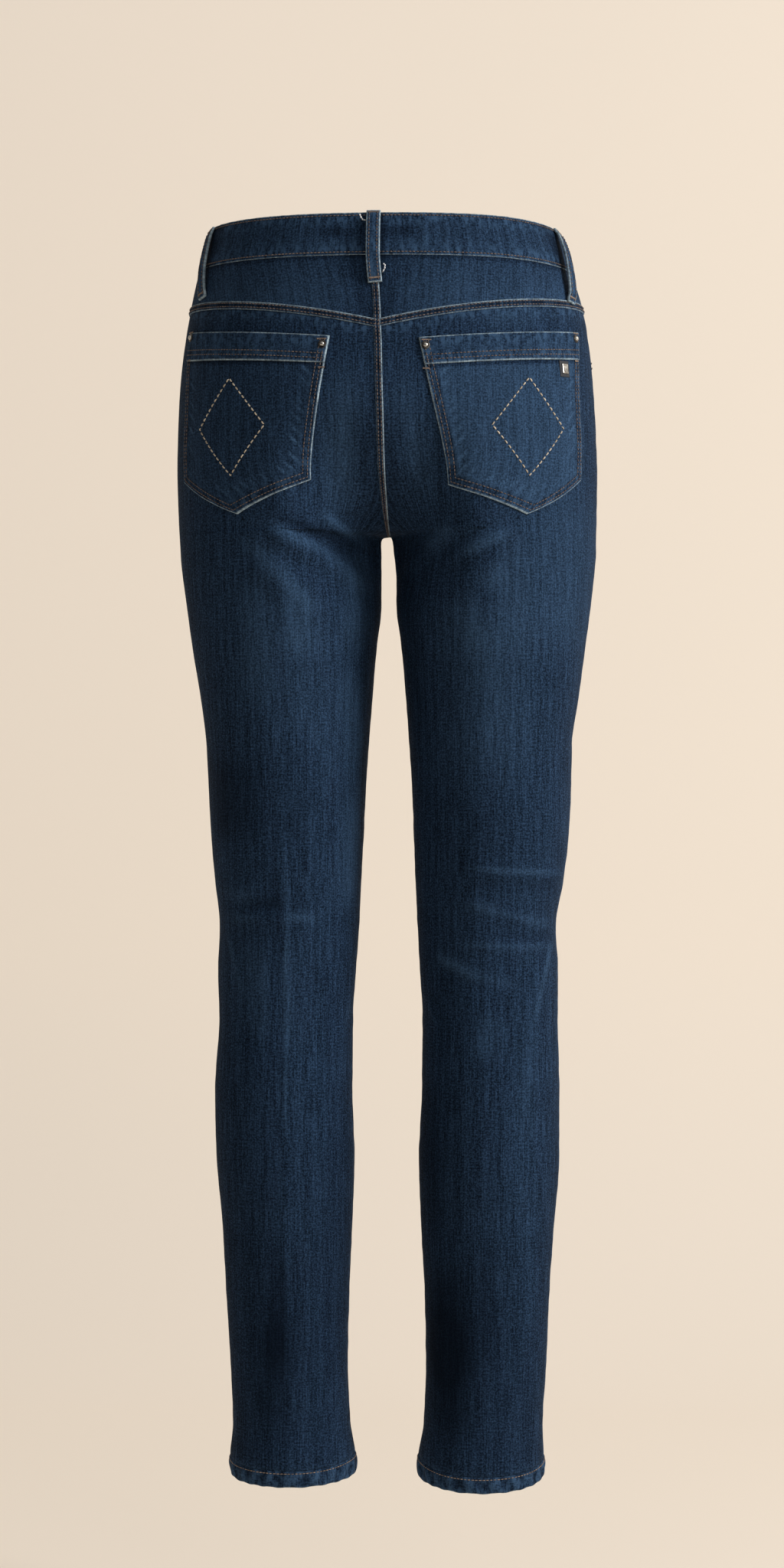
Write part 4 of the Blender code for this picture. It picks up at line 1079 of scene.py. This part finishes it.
def back_pocket(word, surface):
    """The patch and the turned band along its top. The patch's border is rolled at the edge and lower along
    each row of stitches, and inside the border it is lower by one cloth. The cloth just inside is rubbed.
    The border over its two rows of stitches gets painted shade, and painted shadow lies just below the band."""
    corners = POCKETS[word]
    share, tip_share = pocket_shares(corners)
    a = close_at_ends(0, 1, 101, 0.75)
    a[np.argmin(np.abs(a - tip_share))] = tip_share
    t = share + (1 - share) * (1 - (1 - np.linspace(0, 1, 84)) ** 1.5)[:, None]
    place = pocket_place(corners, a, t)
    distance = border_distance(corners, place)
    along = place.sum(axis=-1)
    relief = rolled(distance, *TURNED_EDGE) + sewn(distance, ROWS_IN)
    relief -= 0.45 * MM * smooth_step(BORDER - 1.5 * MM, BORDER + 1.5 * MM, distance)
    relief += 0.12 * MM * ripple(along, 9 * MM, 23 * MM, 31) * np.exp(-distance / (8 * MM))
    fade = 0.85 * hump(distance - 14 * MM, 4 * MM) * np.clip(ripple(along, 5 * MM, 13 * MM, 33), 0, 1)
    # Base dye loss, with painted light added on the right pocket.
    fade += POCKET_FADE_AND_PAINTED_LIGHT[word]
    # Painted shade over the border and its two rows of stitches.
    fade -= 0.32 * smooth_step(MM, 2 * MM, distance) * smooth_step(9.6 * MM, 7.6 * MM, distance)
    # Painted shadow just below the band.
    below_band = (t - share) / share * POCKET_BAND * MM
    fade -= 0.8 * smooth_step(3.4 * MM, 0.6 * MM, below_band)
    node = f"back_pocket_{word}"
    patch(f"cloth_pocket_{word}", surface, place, POCKET_LIFT, relief, MM, distance, fade, node)

    # The band, whose upper edge is the fold.
    t = close_at_ends(0, share, 26, 0.85)[:, None]
    place = pocket_place(corners, close_at_ends(0, 1, 90, 0.8), t)
    sides = border_distance(corners, place)
    down = t / share * POCKET_BAND * MM
    up = POCKET_BAND * MM - down
    pucker = ripple(place[..., 0], 7 * MM, 19 * MM, 35)
    relief = rolled(down, *TURNED_EDGE) + rolled(up, 0.9 * MM, 0.9 * MM) + rolled(sides, *TURNED_EDGE)
    relief += sewn(down, BAND_ROWS) + 0.2 * MM * pucker * hump(down - 9 * MM, 7 * MM)
    fade = 0.1 + 0.4 * np.clip(pucker, 0, 1) * hump(down - 12 * MM, 5 * MM)
    edge = np.minimum(np.minimum(down, up), sides)
    node = f"pocket_band_{word}"
    patch(f"cloth_pocket_band_{word}", surface, place, POCKET_BAND_LIFT, relief, 1.4 * MM, edge, fade, node)


for word, surface in SIDES:
    back_pocket(word, surface)
print("pocket areas in square metres:", {k: round(v, 4) for k, v in CUTS.items() if "pocket" in k})

# %% [markdown]
# ## Felled seams
# The yoke seam and the seat seam are flat-felled: the two edges are folded into each other, laid flat and
# sewn with two rows. That makes a raised band a few millimetres wide, with rubbed edges and painted shade
# along its middle between the rows.

# %% Fell bands
FELL_LIFT, YOKE_FELL, SEAT_FELL = 0.9 * MM, 6.5 * MM, 5.7 * MM
# The two stitch rows, as shares of a fell's width.
FELL_ROWS = (0.27, 0.7)


def fell(name, surface, centre, across, width, seed, edges):
    """A raised band along a line of places on the cloth. centre and across give its places and the
    direction across it, as (distance from the centre back, depth). It is rolled at both edges, and edges
    says how far beyond each of them the rubbing starts, in millimetres."""
    share = close_at_ends(0, 1, 15, 0.85)[None, :]
    place = centre[:, None, :] + np.array(across) * (share * width)[..., None]
    z = -place[..., 1]
    rounds = surface.from_centre(place[..., 0], z)
    distance = np.minimum(share, 1 - share) * width
    along = run_length(centre)[:, None]
    relief = rolled(distance, 0.9 * MM, 0.9 * MM) + 0.12 * MM * ripple(along, 5 * MM, 12 * MM, seed)
    relief = relief + sewn(share * width, [row * width for row in FELL_ROWS], 0.25 * MM, 0.6 * MM)
    outer, _ = on_cloth(surface, rounds, z, FELL_LIFT + relief)
    inner, _ = on_cloth(surface, rounds, z, -0.2 * MM)
    rubbed = distance + np.where(share > 0.5, edges[1], edges[0]) * MM
    # The band's middle, between its rows, gets painted shade.
    shell(name, outer, inner, cloth_uv(along, distance), rubbed, 0.1 - 0.75 * hump(share - 0.5, 0.36, 4), [])


def yoke_fell_line(surface, share):
    """Places along the upper edge of the yoke's felled seam, from the side seam to the centre back."""
    z = yoke_seam(surface.side, share) + YOKE_FELL
    return np.stack([(1 - share) * surface.girth(z, 0), -z], axis=-1)


# Depth below the waist line and how far the fell's edge lies from the middle, in millimetres.
SEAT_WANDER = np.array([(21, -3), (70, -2.4), (95, -1.2), (143, -0.3), (190, -0.9), (230, -0.4)])


def seat_fell_start(drops):
    """Where the seat's fell starts, as a smooth curve through a few depths. It wanders as the real seam does,
    and is centred over the crotch at its lower end."""
    return through(SEAT_WANDER[:, 0], SEAT_WANDER[:, 1], drops / MM) * MM


for number, (word, surface) in enumerate(SIDES):
    line = yoke_fell_line(surface, np.linspace(0, 1, 170))
    fell(f"fell_yoke_{word}", surface, line, (0, 1), YOKE_FELL, 50 + number, (-0.1, 0.5))
SEAT_DROPS = np.concatenate([np.linspace(21, 71, 40), np.linspace(72, 231.4, 150)]) * MM
line = np.stack([seat_fell_start(SEAT_DROPS), SEAT_DROPS], axis=-1)
fell("fell_seat", RIGHT, line, (1, 0), SEAT_FELL, 52, (0.7, 0.1))
print("felled seams:", sum(k.startswith("fell_") for k in CUTS))

# %% [markdown]
# ## Belt loops and fly
# A belt loop is a narrow folded strip, sewn down at both ends and standing off the band between them. Its
# long edges are rolled and rubbed.

# %% Loops
LOOP_WIDTH, LOOP_WALL, LOOP_FOOT, LOOP_ROW = 11 * MM, 2 * MM, 1.1 * MM, 3.1 * MM
# Length of each loop and how far it stands off the band, in millimetres.
SIDE_LOOP = {1: (57.5, 2.4), -1: (60, 4.4)}
FRONT_LOOP, BACK_LOOP = (52, 4.6), (57, 5)
SIDE_LOOP_FROM_CENTRE = {1: 158.5 * MM, -1: 173 * MM}
FRONT_LOOP_AT, BACK_LOOP_AT = -0.62, 0.999
LOOPS = {}


def loop_frame(surface, place, top_z, size, share):
    """Centre line of a loop's inner face, its directions out and across, at shares of its length."""
    length, bulge = size
    z = top_z - share * length * MM
    rounds = place(z)
    normal = surface.outward(rounds, z)
    lift = bulge * MM * np.clip(np.sin(np.pi * share), 0, 1) ** 0.6
    lift = LOOP_FOOT + lift * smooth_step(0, 0.12, share) * smooth_step(1, 0.88, share)
    base = surface.smooth(rounds, z) + normal * lift[:, None]
    down = unit(np.gradient(base, axis=0))
    wide = unit(np.cross(normal, down))
    out = np.cross(down, wide)
    out *= np.sign(np.sum(out * normal, axis=1, keepdims=True))
    return base, unit(out), wide


def belt_loop(word, surface, place, top_z, size):
    """The strip: rolled edges along its sides, and low lines along its two rows of stitches."""
    share = close_at_ends(0, 1, 70, 0.6)
    name = f"cloth_loop_{word}"
    base, out, wide = loop_frame(surface, place, top_z, size, share)
    across = close_at_ends(-0.5, 0.5, 15, 0.8)[None, :] * LOOP_WIDTH
    along = (share * size[0] * MM)[:, None]
    side_distance = LOOP_WIDTH / 2 - np.abs(across)
    ends = np.minimum(along, size[0] * MM - along)
    relief = rolled(side_distance, MM, 0.9 * MM) + rolled(ends, 0.9 * MM, 0.8 * MM)
    relief = relief + sewn(np.abs(across), [LOOP_ROW], 0.25 * MM)
    relief = relief + 0.1 * MM * ripple(along, 5 * MM, 11 * MM, len(name))
    inner = base[:, None] + wide[:, None] * across[..., None]
    outer = inner + out[:, None] * (LOOP_WALL + relief)[..., None]
    edge = np.minimum(side_distance, ends)
    shell(name, outer, inner, cloth_uv(across, -along), edge, 0.22, [f"belt_loop_{word}"])
    LOOPS[name] = (surface, place, top_z, size)


def over_hip(surface):
    return lambda z: surface.from_centre(SIDE_LOOP_FROM_CENTRE[surface.side], z)


def at_round(value):
    return lambda z: value + 0 * z


for word, surface in SIDES:
    side = surface.side
    hip_top = float(band_edge(side, 0.1, 1)) - 2.2 * MM
    front_top = float(band_edge(side, FRONT_LOOP_AT, 1)) - 0.5 * MM
    belt_loop(f"side_{word}", surface, over_hip(surface), hip_top, SIDE_LOOP[side])
    belt_loop(f"front_{word}", surface, at_round(FRONT_LOOP_AT), front_top, FRONT_LOOP)
back_top = float(band_edge(1, 1, 1)) + 0.8 * MM
belt_loop("back", LEFT, at_round(BACK_LOOP_AT), back_top, BACK_LOOP)
print("belt loops:", len(LOOPS))

# %% Fly
FLY_WIDTH, FLY_START, FLY_LENGTH, FLY_LIFT = 0.15, -0.996, 138 * MM, 1.65 * MM
FLY_TOP = float(band_edge(1, -1, -1)) - MM


def fly_edge(share):
    """Width of the flap as a share of the front, at a share of its length, with a rounded lower corner."""
    return FLY_WIDTH * np.sqrt(np.clip(1 - np.clip((share - 0.62) / 0.385, 0, 1) ** 2.2, 0.02, 1))


def fly(name, surface, nodes):
    """The flap beside the centre front, which is rolled and rubbed at its free edges."""
    share = np.linspace(0, 1, 76)[:, None]
    across = close_at_ends(0, 1, 26)[None, :]
    rounds = FLY_START + across * fly_edge(share)
    z = FLY_TOP - share * FLY_LENGTH
    width = surface.girth(z, 1)
    free = np.minimum((1 - share) * FLY_LENGTH, (1 - across) * 20 * MM)
    edge = np.minimum((rounds - FLY_START) * width, free)
    outer, normals = on_cloth(surface, rounds, z, FLY_LIFT + rolled(edge, MM, 0.6 * MM))
    shell(name, outer, outer - normals * 0.8 * MM, cloth_uv((rounds + 1) * width, z), edge, 0.12, nodes)


fly("cloth_fly", LEFT, ["fly"])
print("cloth shells:", len(CUTS))

# %% [markdown]
# ## Stitching
# Real thread lies on the cloth as short fat strands that dip in at both ends. Each stitch is a small tube
# with four rings, and all stitches of one row are worked out as one array. Rows of one thread are one mesh.

# %% Stitch maker
STITCH_LENGTH, STITCH_PITCH = 2.5 * MM, 2.95 * MM
RING_SHARE = np.array([0, 0.28, 0.72, 1])
RING_HEIGHT = np.array([-0.7, 0.45, 0.45, -0.7])
RING_SIZE = np.array([0.45, 1, 1, 0.45])
SIDES_OF_TUBE = 6
THREADS = {
    "stitches_brown": "thread_brown",
    "stitches_copper": "thread_copper",
    "stitches_cream": "thread_cream",
    "thread_ends": "thread_white",
}
BATCHES = {}


def tubes(batch, stations, normals, radius):
    """Adds one tube for each row of stations (n, 4, 3). Its rings are circles round the line between the
    stations, lifted along the normal by their own heights."""
    along = unit(stations[:, -1] - stations[:, 0])[:, None]
    across = unit(np.cross(normals, along))
    centre = stations + normals * (RING_HEIGHT * radius)[None, :, None]
    angle = np.linspace(0, 2 * np.pi, SIDES_OF_TUBE, endpoint=False)
    ring = across[:, :, None] * np.cos(angle)[None, None, :, None]
    ring = ring + normals[:, :, None] * np.sin(angle)[None, None, :, None]
    verts = centre[:, :, None] + ring * (RING_SIZE * radius)[None, :, None, None]
    BATCHES.setdefault(batch, []).append(verts.reshape(len(stations), -1, 3))


def read_at(where, along, data):
    """Vectors read at these lengths along a path."""
    return np.stack([np.interp(where, along, data[:, k]) for k in range(3)], axis=-1)


def stitch_row(batch, points, normals, radius=0.42 * MM, pitch=STITCH_PITCH, length=STITCH_LENGTH):
    """Stitches along a path, at even distances along it."""
    along = run_length(points)
    count = int(along[-1] / pitch)
    if count < 1:
        return
    start = (np.arange(count) + 0.5) * along[-1] / count - length / 2
    where = start[:, None] + RING_SHARE[None, :] * length
    tubes(batch, read_at(where, along, points), unit(read_at(where, along, normals)), radius)


def tack(batch, centre, normal, across, width, height, radius=0.3 * MM):
    """A bar tack: close stitches side by side over a small block."""
    down = unit(np.cross(normal, across))
    count = max(3, int(width / (1.5 * radius)))
    offsets = np.linspace(-width / 2, width / 2, count)
    middle = centre + across * offsets[:, None]
    stations = middle[:, None] + down * ((RING_SHARE - 0.5) * height)[None, :, None]
    tubes(batch, stations, np.broadcast_to(normal, stations.shape), radius)


def build_threads():
    """One mesh for each batch: the tubes' sides, and two quads to close each end."""
    around = np.arange(SIDES_OF_TUBE)
    after = np.roll(around, -1)
    quad = np.stack([around, after, 6 + after, 6 + around], axis=-1)
    caps = [[3, 2, 1, 0], [5, 4, 3, 0], [18, 19, 20, 21], [18, 21, 22, 23]]
    one = np.concatenate([quad, quad + 6, quad + 12, caps])
    for name, thread in THREADS.items():
        verts = np.concatenate(BATCHES[name])
        faces = (one[None] + 24 * np.arange(len(verts))[:, None, None]).reshape(-1, 4)
        obj = mesh_object(name, verts.reshape(-1, 3), faces, FINE[thread])
        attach(obj, "root")
        print(name, len(verts), "stitches,", 2 * len(faces), "triangles")


print("stitch length in mm:", STITCH_LENGTH / MM)

# %% [markdown]
# ## Rows of stitches
# Rows run a few millimetres inside each edge. Brown thread holds the seams and copper thread the hems and
# bar tacks. The pockets carry a plain lozenge of straight rows in thick cream thread.


# %% Rows along the seams
def cloth_row(batch, surface, rounds, z, lift, **options):
    stitch_row(batch, *on_cloth(surface, rounds, z, lift), **options)


def batch_sizes():
    return {name: sum(len(part) for part in parts) for name, parts in BATCHES.items()}


for word, surface in SIDES:
    side = surface.side
    rounds = np.linspace(-1, 1, 900)
    for z in (band_edge(side, rounds, 1) - ROW_BELOW_TOP, band_edge(side, rounds, -1) + ROW_ABOVE_FOOT):
        cloth_row("stitches_brown", surface, rounds, z, BAND_LIFT + 0.05 * MM)
    rounds = np.linspace(0, 1, 500)
    for row in FELL_ROWS:
        z = yoke_seam(side, rounds) + YOKE_FELL * (1 - row)
        cloth_row("stitches_brown", surface, rounds, z, FELL_LIFT - 0.05 * MM)
    rounds = np.linspace(-1, 1, 700)
    z = hem_edge(side, rounds, 1) - HEM_ROW
    cloth_row("stitches_copper", surface, rounds, z, HEM_LIFT + 0.2 * MM, radius=0.34 * MM)
    rounds = -np.linspace(0, MOUTH_END - 0.01, 300)
    for inside in (2.5 * MM, 6.5 * MM):
        cloth_row("stitches_brown", surface, rounds, pocket_mouth(side, rounds) - inside, 0.15 * MM)
for row in FELL_ROWS:
    z = -SEAT_DROPS
    rounds = RIGHT.from_centre(SEAT_FELL * row + seat_fell_start(SEAT_DROPS), z)
    cloth_row("stitches_brown", RIGHT, rounds, z, FELL_LIFT - 0.05 * MM)
print("stitches along seams:", batch_sizes())


# %% Rows on the pockets
def inset_outline(corners, distance, top_share):
    """The side and lower edges moved inwards, as the crossings of the moved straight lines, from the inner
    to the outer end of a line across the pocket at a share of its band."""
    inner_top, outer_top, outer_low, tip, inner_low = points = np.array(corners) * MM
    across = outer_top - inner_top
    top = (inner_top + np.array([0, POCKET_BAND * MM * top_share]), across / np.hypot(*across))
    chain = [top]
    for a, b in ((inner_top, inner_low), (inner_low, tip), (tip, outer_low), (outer_low, outer_top)):
        step = (b - a) / np.hypot(*(b - a))
        normal = np.array([-step[1], step[0]])
        normal *= np.sign(np.dot(points.mean(axis=0) - a, normal))
        chain.append((a + normal * distance, step))
    chain.append(top)
    found = []
    for (p, r), (q, s) in zip(chain[:-1], chain[1:]):
        found.append(p + r * np.linalg.solve(np.stack([r, -s], axis=1), q - p)[0])
    return np.array(found)


def between(corners, spacing=MM):
    """Points at even distances along straight runs between the corners."""
    runs = []
    for a, b in zip(corners[:-1], corners[1:]):
        count = max(2, int(np.hypot(*(b - a)) / spacing))
        runs.append(a + (b - a) * np.linspace(0, 1, count, endpoint=False)[:, None])
    return np.concatenate([*runs, corners[-1:]])


def pocket_row(batch, surface, corners, lift, **options):
    stitch_row(batch, *pocket_cloth(surface, between(np.array(corners)), lift), **options)


# How deep the stitches lie in the pocket's cloth.
STITCH_SINK = 0.15 * MM
LOZENGE = np.array([(0, -38), (33, 0), (0, 38), (-33, 0), (0, -38)]) * MM
CREAM_STITCH = {"radius": 0.58 * MM, "pitch": 4.7 * MM, "length": 3.5 * MM}
LOZENGE_AT = {"left": (121, 152), "right": (122, 153)}
for word, surface in SIDES:
    corners = POCKETS[word]
    for row in ROWS_IN:
        outline = inset_outline(corners, row, 1)
        pocket_row("stitches_brown", surface, outline, POCKET_LIFT - STITCH_SINK)
        upper = inset_outline(corners, row, 0.1)
        pocket_row("stitches_brown", surface, (upper[0], outline[0]), POCKET_BAND_LIFT - STITCH_SINK)
    for row in BAND_ROWS:
        line = inset_outline(corners, 1.5 * MM, row / (POCKET_BAND * MM))
        pocket_row("stitches_brown", surface, (line[0], line[-1]), POCKET_BAND_LIFT - STITCH_SINK)
    places = np.array(LOZENGE_AT[word]) * MM + LOZENGE
    pocket_row("stitches_cream", surface, places, POCKET_LIFT - 0.3 * MM, **CREAM_STITCH)
print("stitches with the pockets:", batch_sizes())

# %% Rows on the loops, the fly and bar tacks
for name, (surface, place, top_z, size) in LOOPS.items():
    share = np.linspace(0.03, 0.97, 160)
    base, out, wide = loop_frame(surface, place, top_z, size, share)
    for offset in (-LOOP_ROW, LOOP_ROW):
        stitch_row("stitches_brown", base + wide * offset + out * (LOOP_WALL - 0.1 * MM), out)
    for k in (2, -8):
        tack("stitches_copper", base[k] + out[k] * LOOP_WALL, out[k], wide[k], 8.5 * MM, 1.6 * MM)
share = np.linspace(0, 0.965, 200)
for inside in (3 * MM, 7 * MM):
    z = FLY_TOP - share * FLY_LENGTH
    rounds = FLY_START + fly_edge(share) - inside / LEFT.girth(z, 1)
    keep = rounds > FLY_START + 0.002
    cloth_row("stitches_brown", LEFT, rounds[keep], z[keep], FLY_LIFT)
# Each rivet's distance from the centre back and depth below the waist line, in millimetres.
RIVETS = {
    "left": (("inner", 41.5, 91), ("outer", 173, 77)),
    "right": (("inner", 38, 92.5), ("outer", 174, 80)),
}
for word, surface in SIDES:
    for where, distance, drop in RIVETS[word]:
        for below, width in ((-4.3, 7), (18, 4.5)):
            place = np.array((distance + 0.5, drop + below)) * MM
            centre, normal = pocket_cloth(surface, place, POCKET_BAND_LIFT)
            across = unit(np.cross((0, 0, 1), normal))
            tack("stitches_copper", centre, normal, across, width * MM, 1.3 * MM)
# Two cut ends of white thread stick out from under the centre loop. Each has four points: place across,
# height and lift, in millimetres.
TAILS = (
    ((11.1, 12.1, 1), (10, 9.2, 2.6), (8.4, 6.8, 2.4), (5.6, 7, 0.8)),
    ((-7, -27.6, 1.4), (-8.6, -29, 2.2), (-8.2, -31.6, 2), (-6.2, -34.4, 0.9)),
)
for tail in TAILS:
    x, z, lift = np.array(tail).T * MM
    surface = LEFT if x[0] > 0 else RIGHT
    points, normals = on_cloth(surface, surface.from_centre(np.abs(x), z), z, BAND_LIFT + lift)
    points = read_at(np.linspace(0, 1, 13), np.linspace(0, 1, 4), points)
    stations = np.stack([points[k : k + 4] for k in (0, 3, 6, 9)])
    tubes("thread_ends", stations, np.broadcast_to(normals[1], stations.shape), 0.6 * MM)
build_threads()

# %% [markdown]
# ## Rivets, plate and button
# Each rivet is a turned profile: a flat washer with a small dome. The plate on the right pocket is a blank
# bevelled piece on a dark backing. The button closes the waistband at the front.


# %% Turned metal
def turned(name, centre, axis, profile, node, segments=32, aged=0):
    """The profile of (radius, height) pairs in millimetres, turned about the axis. Its first faces are dark,
    in as many bands as aged says."""
    first = unit(np.cross(axis, (0, 0, 1)))
    second = np.cross(axis, first)
    angle = np.linspace(0, 2 * np.pi, segments, endpoint=False)[None, :, None]
    radius, height = np.array(profile).T[:, :, None, None] * MM
    verts = centre + axis * height + radius * (np.cos(angle) * first + np.sin(angle) * second)
    number = np.arange(len(profile) * segments).reshape(len(profile), segments)
    after = np.roll(number, -1, axis=1)
    faces = np.stack([number[:-1], after[:-1], after[1:], number[1:]], axis=-1).reshape(-1, 4).tolist()
    faces += [number[0][::-1].tolist(), number[-1].tolist()]
    obj = mesh_object(name, verts.reshape(-1, 3), faces, FINE["nickel"], FINE["aged_nickel"])
    slots = np.zeros(len(faces), np.int32)
    slots[: aged * segments] = 1
    obj.data.polygons.foreach_set("material_index", slots)
    obj.data.set_sharp_from_angle(angle=0.7)
    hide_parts(node)
    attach(obj, "root")


RIVET = ((3.1, 0), (3.3, 0.25), (3.2, 0.6), (2.6, 0.85), (1.9, 0.8), (1.75, 1.4), (1.4, 1.9), (0.8, 2.15))
RIVET += ((0.2, 2.25),)
BUTTON = ((5, 0), (5, 1.6), (8.2, 1.7), (8.6, 2.2), (8.5, 2.9), (7.8, 3.4), (6.8, 3.5), (6, 3.1))
BUTTON += ((1, 2.9), (0.3, 2.9))
BUTTON_ROUND = -0.97
for word, surface in SIDES:
    for where, distance, drop in RIVETS[word]:
        centre, normal = pocket_cloth(surface, np.array((distance, drop)) * MM, POCKET_BAND_LIFT)
        turned(f"metal_rivet_{word}_{where}", centre, normal, RIVET, f"rivet_{word}_{where}", aged=4)
centre, normal = on_cloth(LEFT, BUTTON_ROUND, band_shift(1, BUTTON_ROUND), BAND_LIFT)
turned("metal_button", centre, normal, BUTTON, "waist_button", 48)
print("button centre in mm:", np.round(centre / MM, 1))


# %% Plate on the right pocket
def bevelled_plate(name, centre, normal, half_wide, half_tall, thick, bevel, material):
    """A rectangle with its upper rim cut at 45 degrees, from four levels of corners. Sizes in millimetres."""
    side = unit(np.cross((0, 0, 1), normal))
    up = np.cross(normal, side)
    ring = np.array([(-1, -1), (1, -1), (1, 1), (-1, 1)], float)
    levels = []
    for height, inset in ((0, 0), (thick - bevel, 0), (thick - 0.3 * bevel, 0.3 * bevel), (thick, bevel)):
        x, y = ring[:, :1] * (half_wide - inset), ring[:, 1:] * (half_tall - inset)
        levels.append(centre + (x * side + y * up + height * normal) * MM)
    faces = [(3, 2, 1, 0), (12, 13, 14, 15)]
    for base in (0, 4, 8):
        faces += [(base + k, base + (k + 1) % 4, base + 4 + (k + 1) % 4, base + 4 + k) for k in range(4)]
    obj = mesh_object(name, np.concatenate(levels), faces, material, smooth=False)
    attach(obj, "root")
    return obj


PLATE_AT, BACKING_THICK = np.array((158.5, 105.6)) * MM, 0.6
centre, normal = pocket_cloth(RIGHT, PLATE_AT, POCKET_LIFT - 0.4 * MM)
bevelled_plate("plate_backing", centre, normal, 5.6, 6.4, BACKING_THICK, 0.4, FINE["dark_backing"])
top = centre + normal * BACKING_THICK * MM
plate = bevelled_plate("metal_plate", top, normal, 3.4, 3.9, 1.1, 0.7, FINE["nickel"])
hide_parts("pocket_plate")
print("plate centre in mm:", np.round(centre / MM, 1))

# %% [markdown]
# ## The cut of each piece
# Cloth hardly stretches, so the table gives the size each piece was cut to: the widest width, the length and
# the area of its flat pattern, all round where the piece is a ring. Each shell's flat area is printed beside
# its area as worn.

# %% Sheets
# Width, length and area of each flat pattern, in metres and square metres.
FLAT = {
    "back": (0.275, 0.935, 0.182),
    "front": (0.265, 0.935, 0.184),
    "yoke": (0.21, 0.062, 0.0093),
    "facing": (0.125, 0.07, 0.0073),
    "hem": (0.335, 0.0135, 0.0045),
    "waistband": (0.85, 0.034, 0.0288),
    "pocket": (0.15, 0.125, 0.0143),
    "pocket_band": (0.155, 0.0235, 0.0036),
    "loop_side": (0.011, 0.068, 0.00074),
    "loop_front": (0.011, 0.058, 0.00063),
    "loop_back": (0.011, 0.063, 0.00069),
    "fly": (0.036, 0.138, 0.0044),
}
for name in [k for k in CUTS if k.startswith("cloth_")]:
    kind, _, side_word = name.removeprefix("cloth_").rpartition("_")
    if side_word not in ("left", "right"):
        kind, side_word = name.removeprefix("cloth_"), ""
    width, length, area = FLAT[kind]
    under = f"back_{side_word}" if kind.startswith("pocket") else "waistband"
    under = [] if kind == "waistband" else [under]
    print(name, "flat area in square metres:", area, "and as worn:", round(CUTS[name], 5))

# %% [markdown]
# ## Backdrop, light and camera
# The photo has a plain warm backdrop and soft light from the front, a little stronger from the right. The
# camera is level, 2.98 m away, with a long lens, and the garment is turned a few degrees.

# %% Backdrop
FLOOR_Z, WALL_Y, CURVE = -1.14, -1.7, 0.5


def backdrop():
    """A floor that curves up into a wall: a profile of a straight run, a quarter circle and a straight
    run, carried sideways."""
    angle = np.linspace(0, np.pi / 2, 24)
    y = np.concatenate([[6], WALL_Y + CURVE - CURVE * np.sin(angle), [WALL_Y]])
    z = np.concatenate([[FLOOR_Z], FLOOR_Z + CURVE * (1 - np.cos(angle)), [4]])
    x, y = np.broadcast_arrays(np.array([[-6], [6]]), y)
    verts = np.stack([x, y, z + 0 * x], axis=-1).reshape(-1, 3)
    count = len(z)
    first = np.arange(count - 1)
    faces = np.stack([first, first + 1, first + count + 1, first + count], axis=-1)
    made = plain_material("paper", (0.55, 0.5, 0.44), (0.57, 0.515, 0.455), 0.8, (0.9, 0.95), 0, 0)
    glow = {"Emission Color": (0.8, 0.7, 0.585, 1), "Emission Strength": 0.47, "Specular IOR Level": 0}
    connect(made.node_tree, made.node_tree.nodes["Principled BSDF"], glow)
    obj = mesh_object("backdrop", verts, faces, made)
    print("backdrop:", len(faces), "faces")


backdrop()


# %% Lights
def area_light(name, location, target, size, power, colour):
    light = bpy.data.lights.new(name, "AREA")
    light.shape = "RECTANGLE"
    light.size, light.size_y = size
    light.energy = power
    light.color = colour
    obj = bpy.data.objects.new(name, light)
    obj.location = location
    obj.rotation_euler = (Vector(target) - Vector(location)).to_track_quat("-Z", "Y").to_euler()
    bpy.context.scene.collection.objects.link(obj)


area_light("key", (-2.9, 1.35, 1.05), (0, 0, -0.35), (1.2, 1.9), 118, (1, 0.98, 0.96))
area_light("fill", (-1.3, 2.9, 0.9), (0, 0, -0.4), (1.4, 1.6), 9, (0.95, 0.98, 1))
area_light("wall", (0, 1.2, 2.6), (0, -1.7, -0.3), (3, 1), 9, (1, 0.98, 0.96))
world = bpy.data.worlds.new("studio")
bpy.context.scene.world = world
world.use_nodes = True
background = {"Color": (0.93, 0.9, 0.86, 1), "Strength": 0.14}
connect(world.node_tree, world.node_tree.nodes["Background"], background)
bpy.context.scene.view_settings.view_transform = "Standard"
print("lights:", *bpy.data.lights.keys())

# %% Camera
TURN, DISTANCE, EYE_Z, SHIFT_X, LENS = np.radians(3.8), 2.975, -0.4299, -0.0071, 85
camera = bpy.data.cameras.new("camera")
camera.lens = LENS
camera_object = bpy.data.objects.new("camera", camera)
camera_object.location = (SHIFT_X - DISTANCE * np.sin(TURN), DISTANCE * np.cos(TURN), EYE_Z)
camera_object.rotation_euler = (np.pi / 2, 0, np.pi + TURN)
bpy.context.scene.collection.objects.link(camera_object)
bpy.context.scene.camera = camera_object
print("camera at", [round(v, 3) for v in camera_object.location])
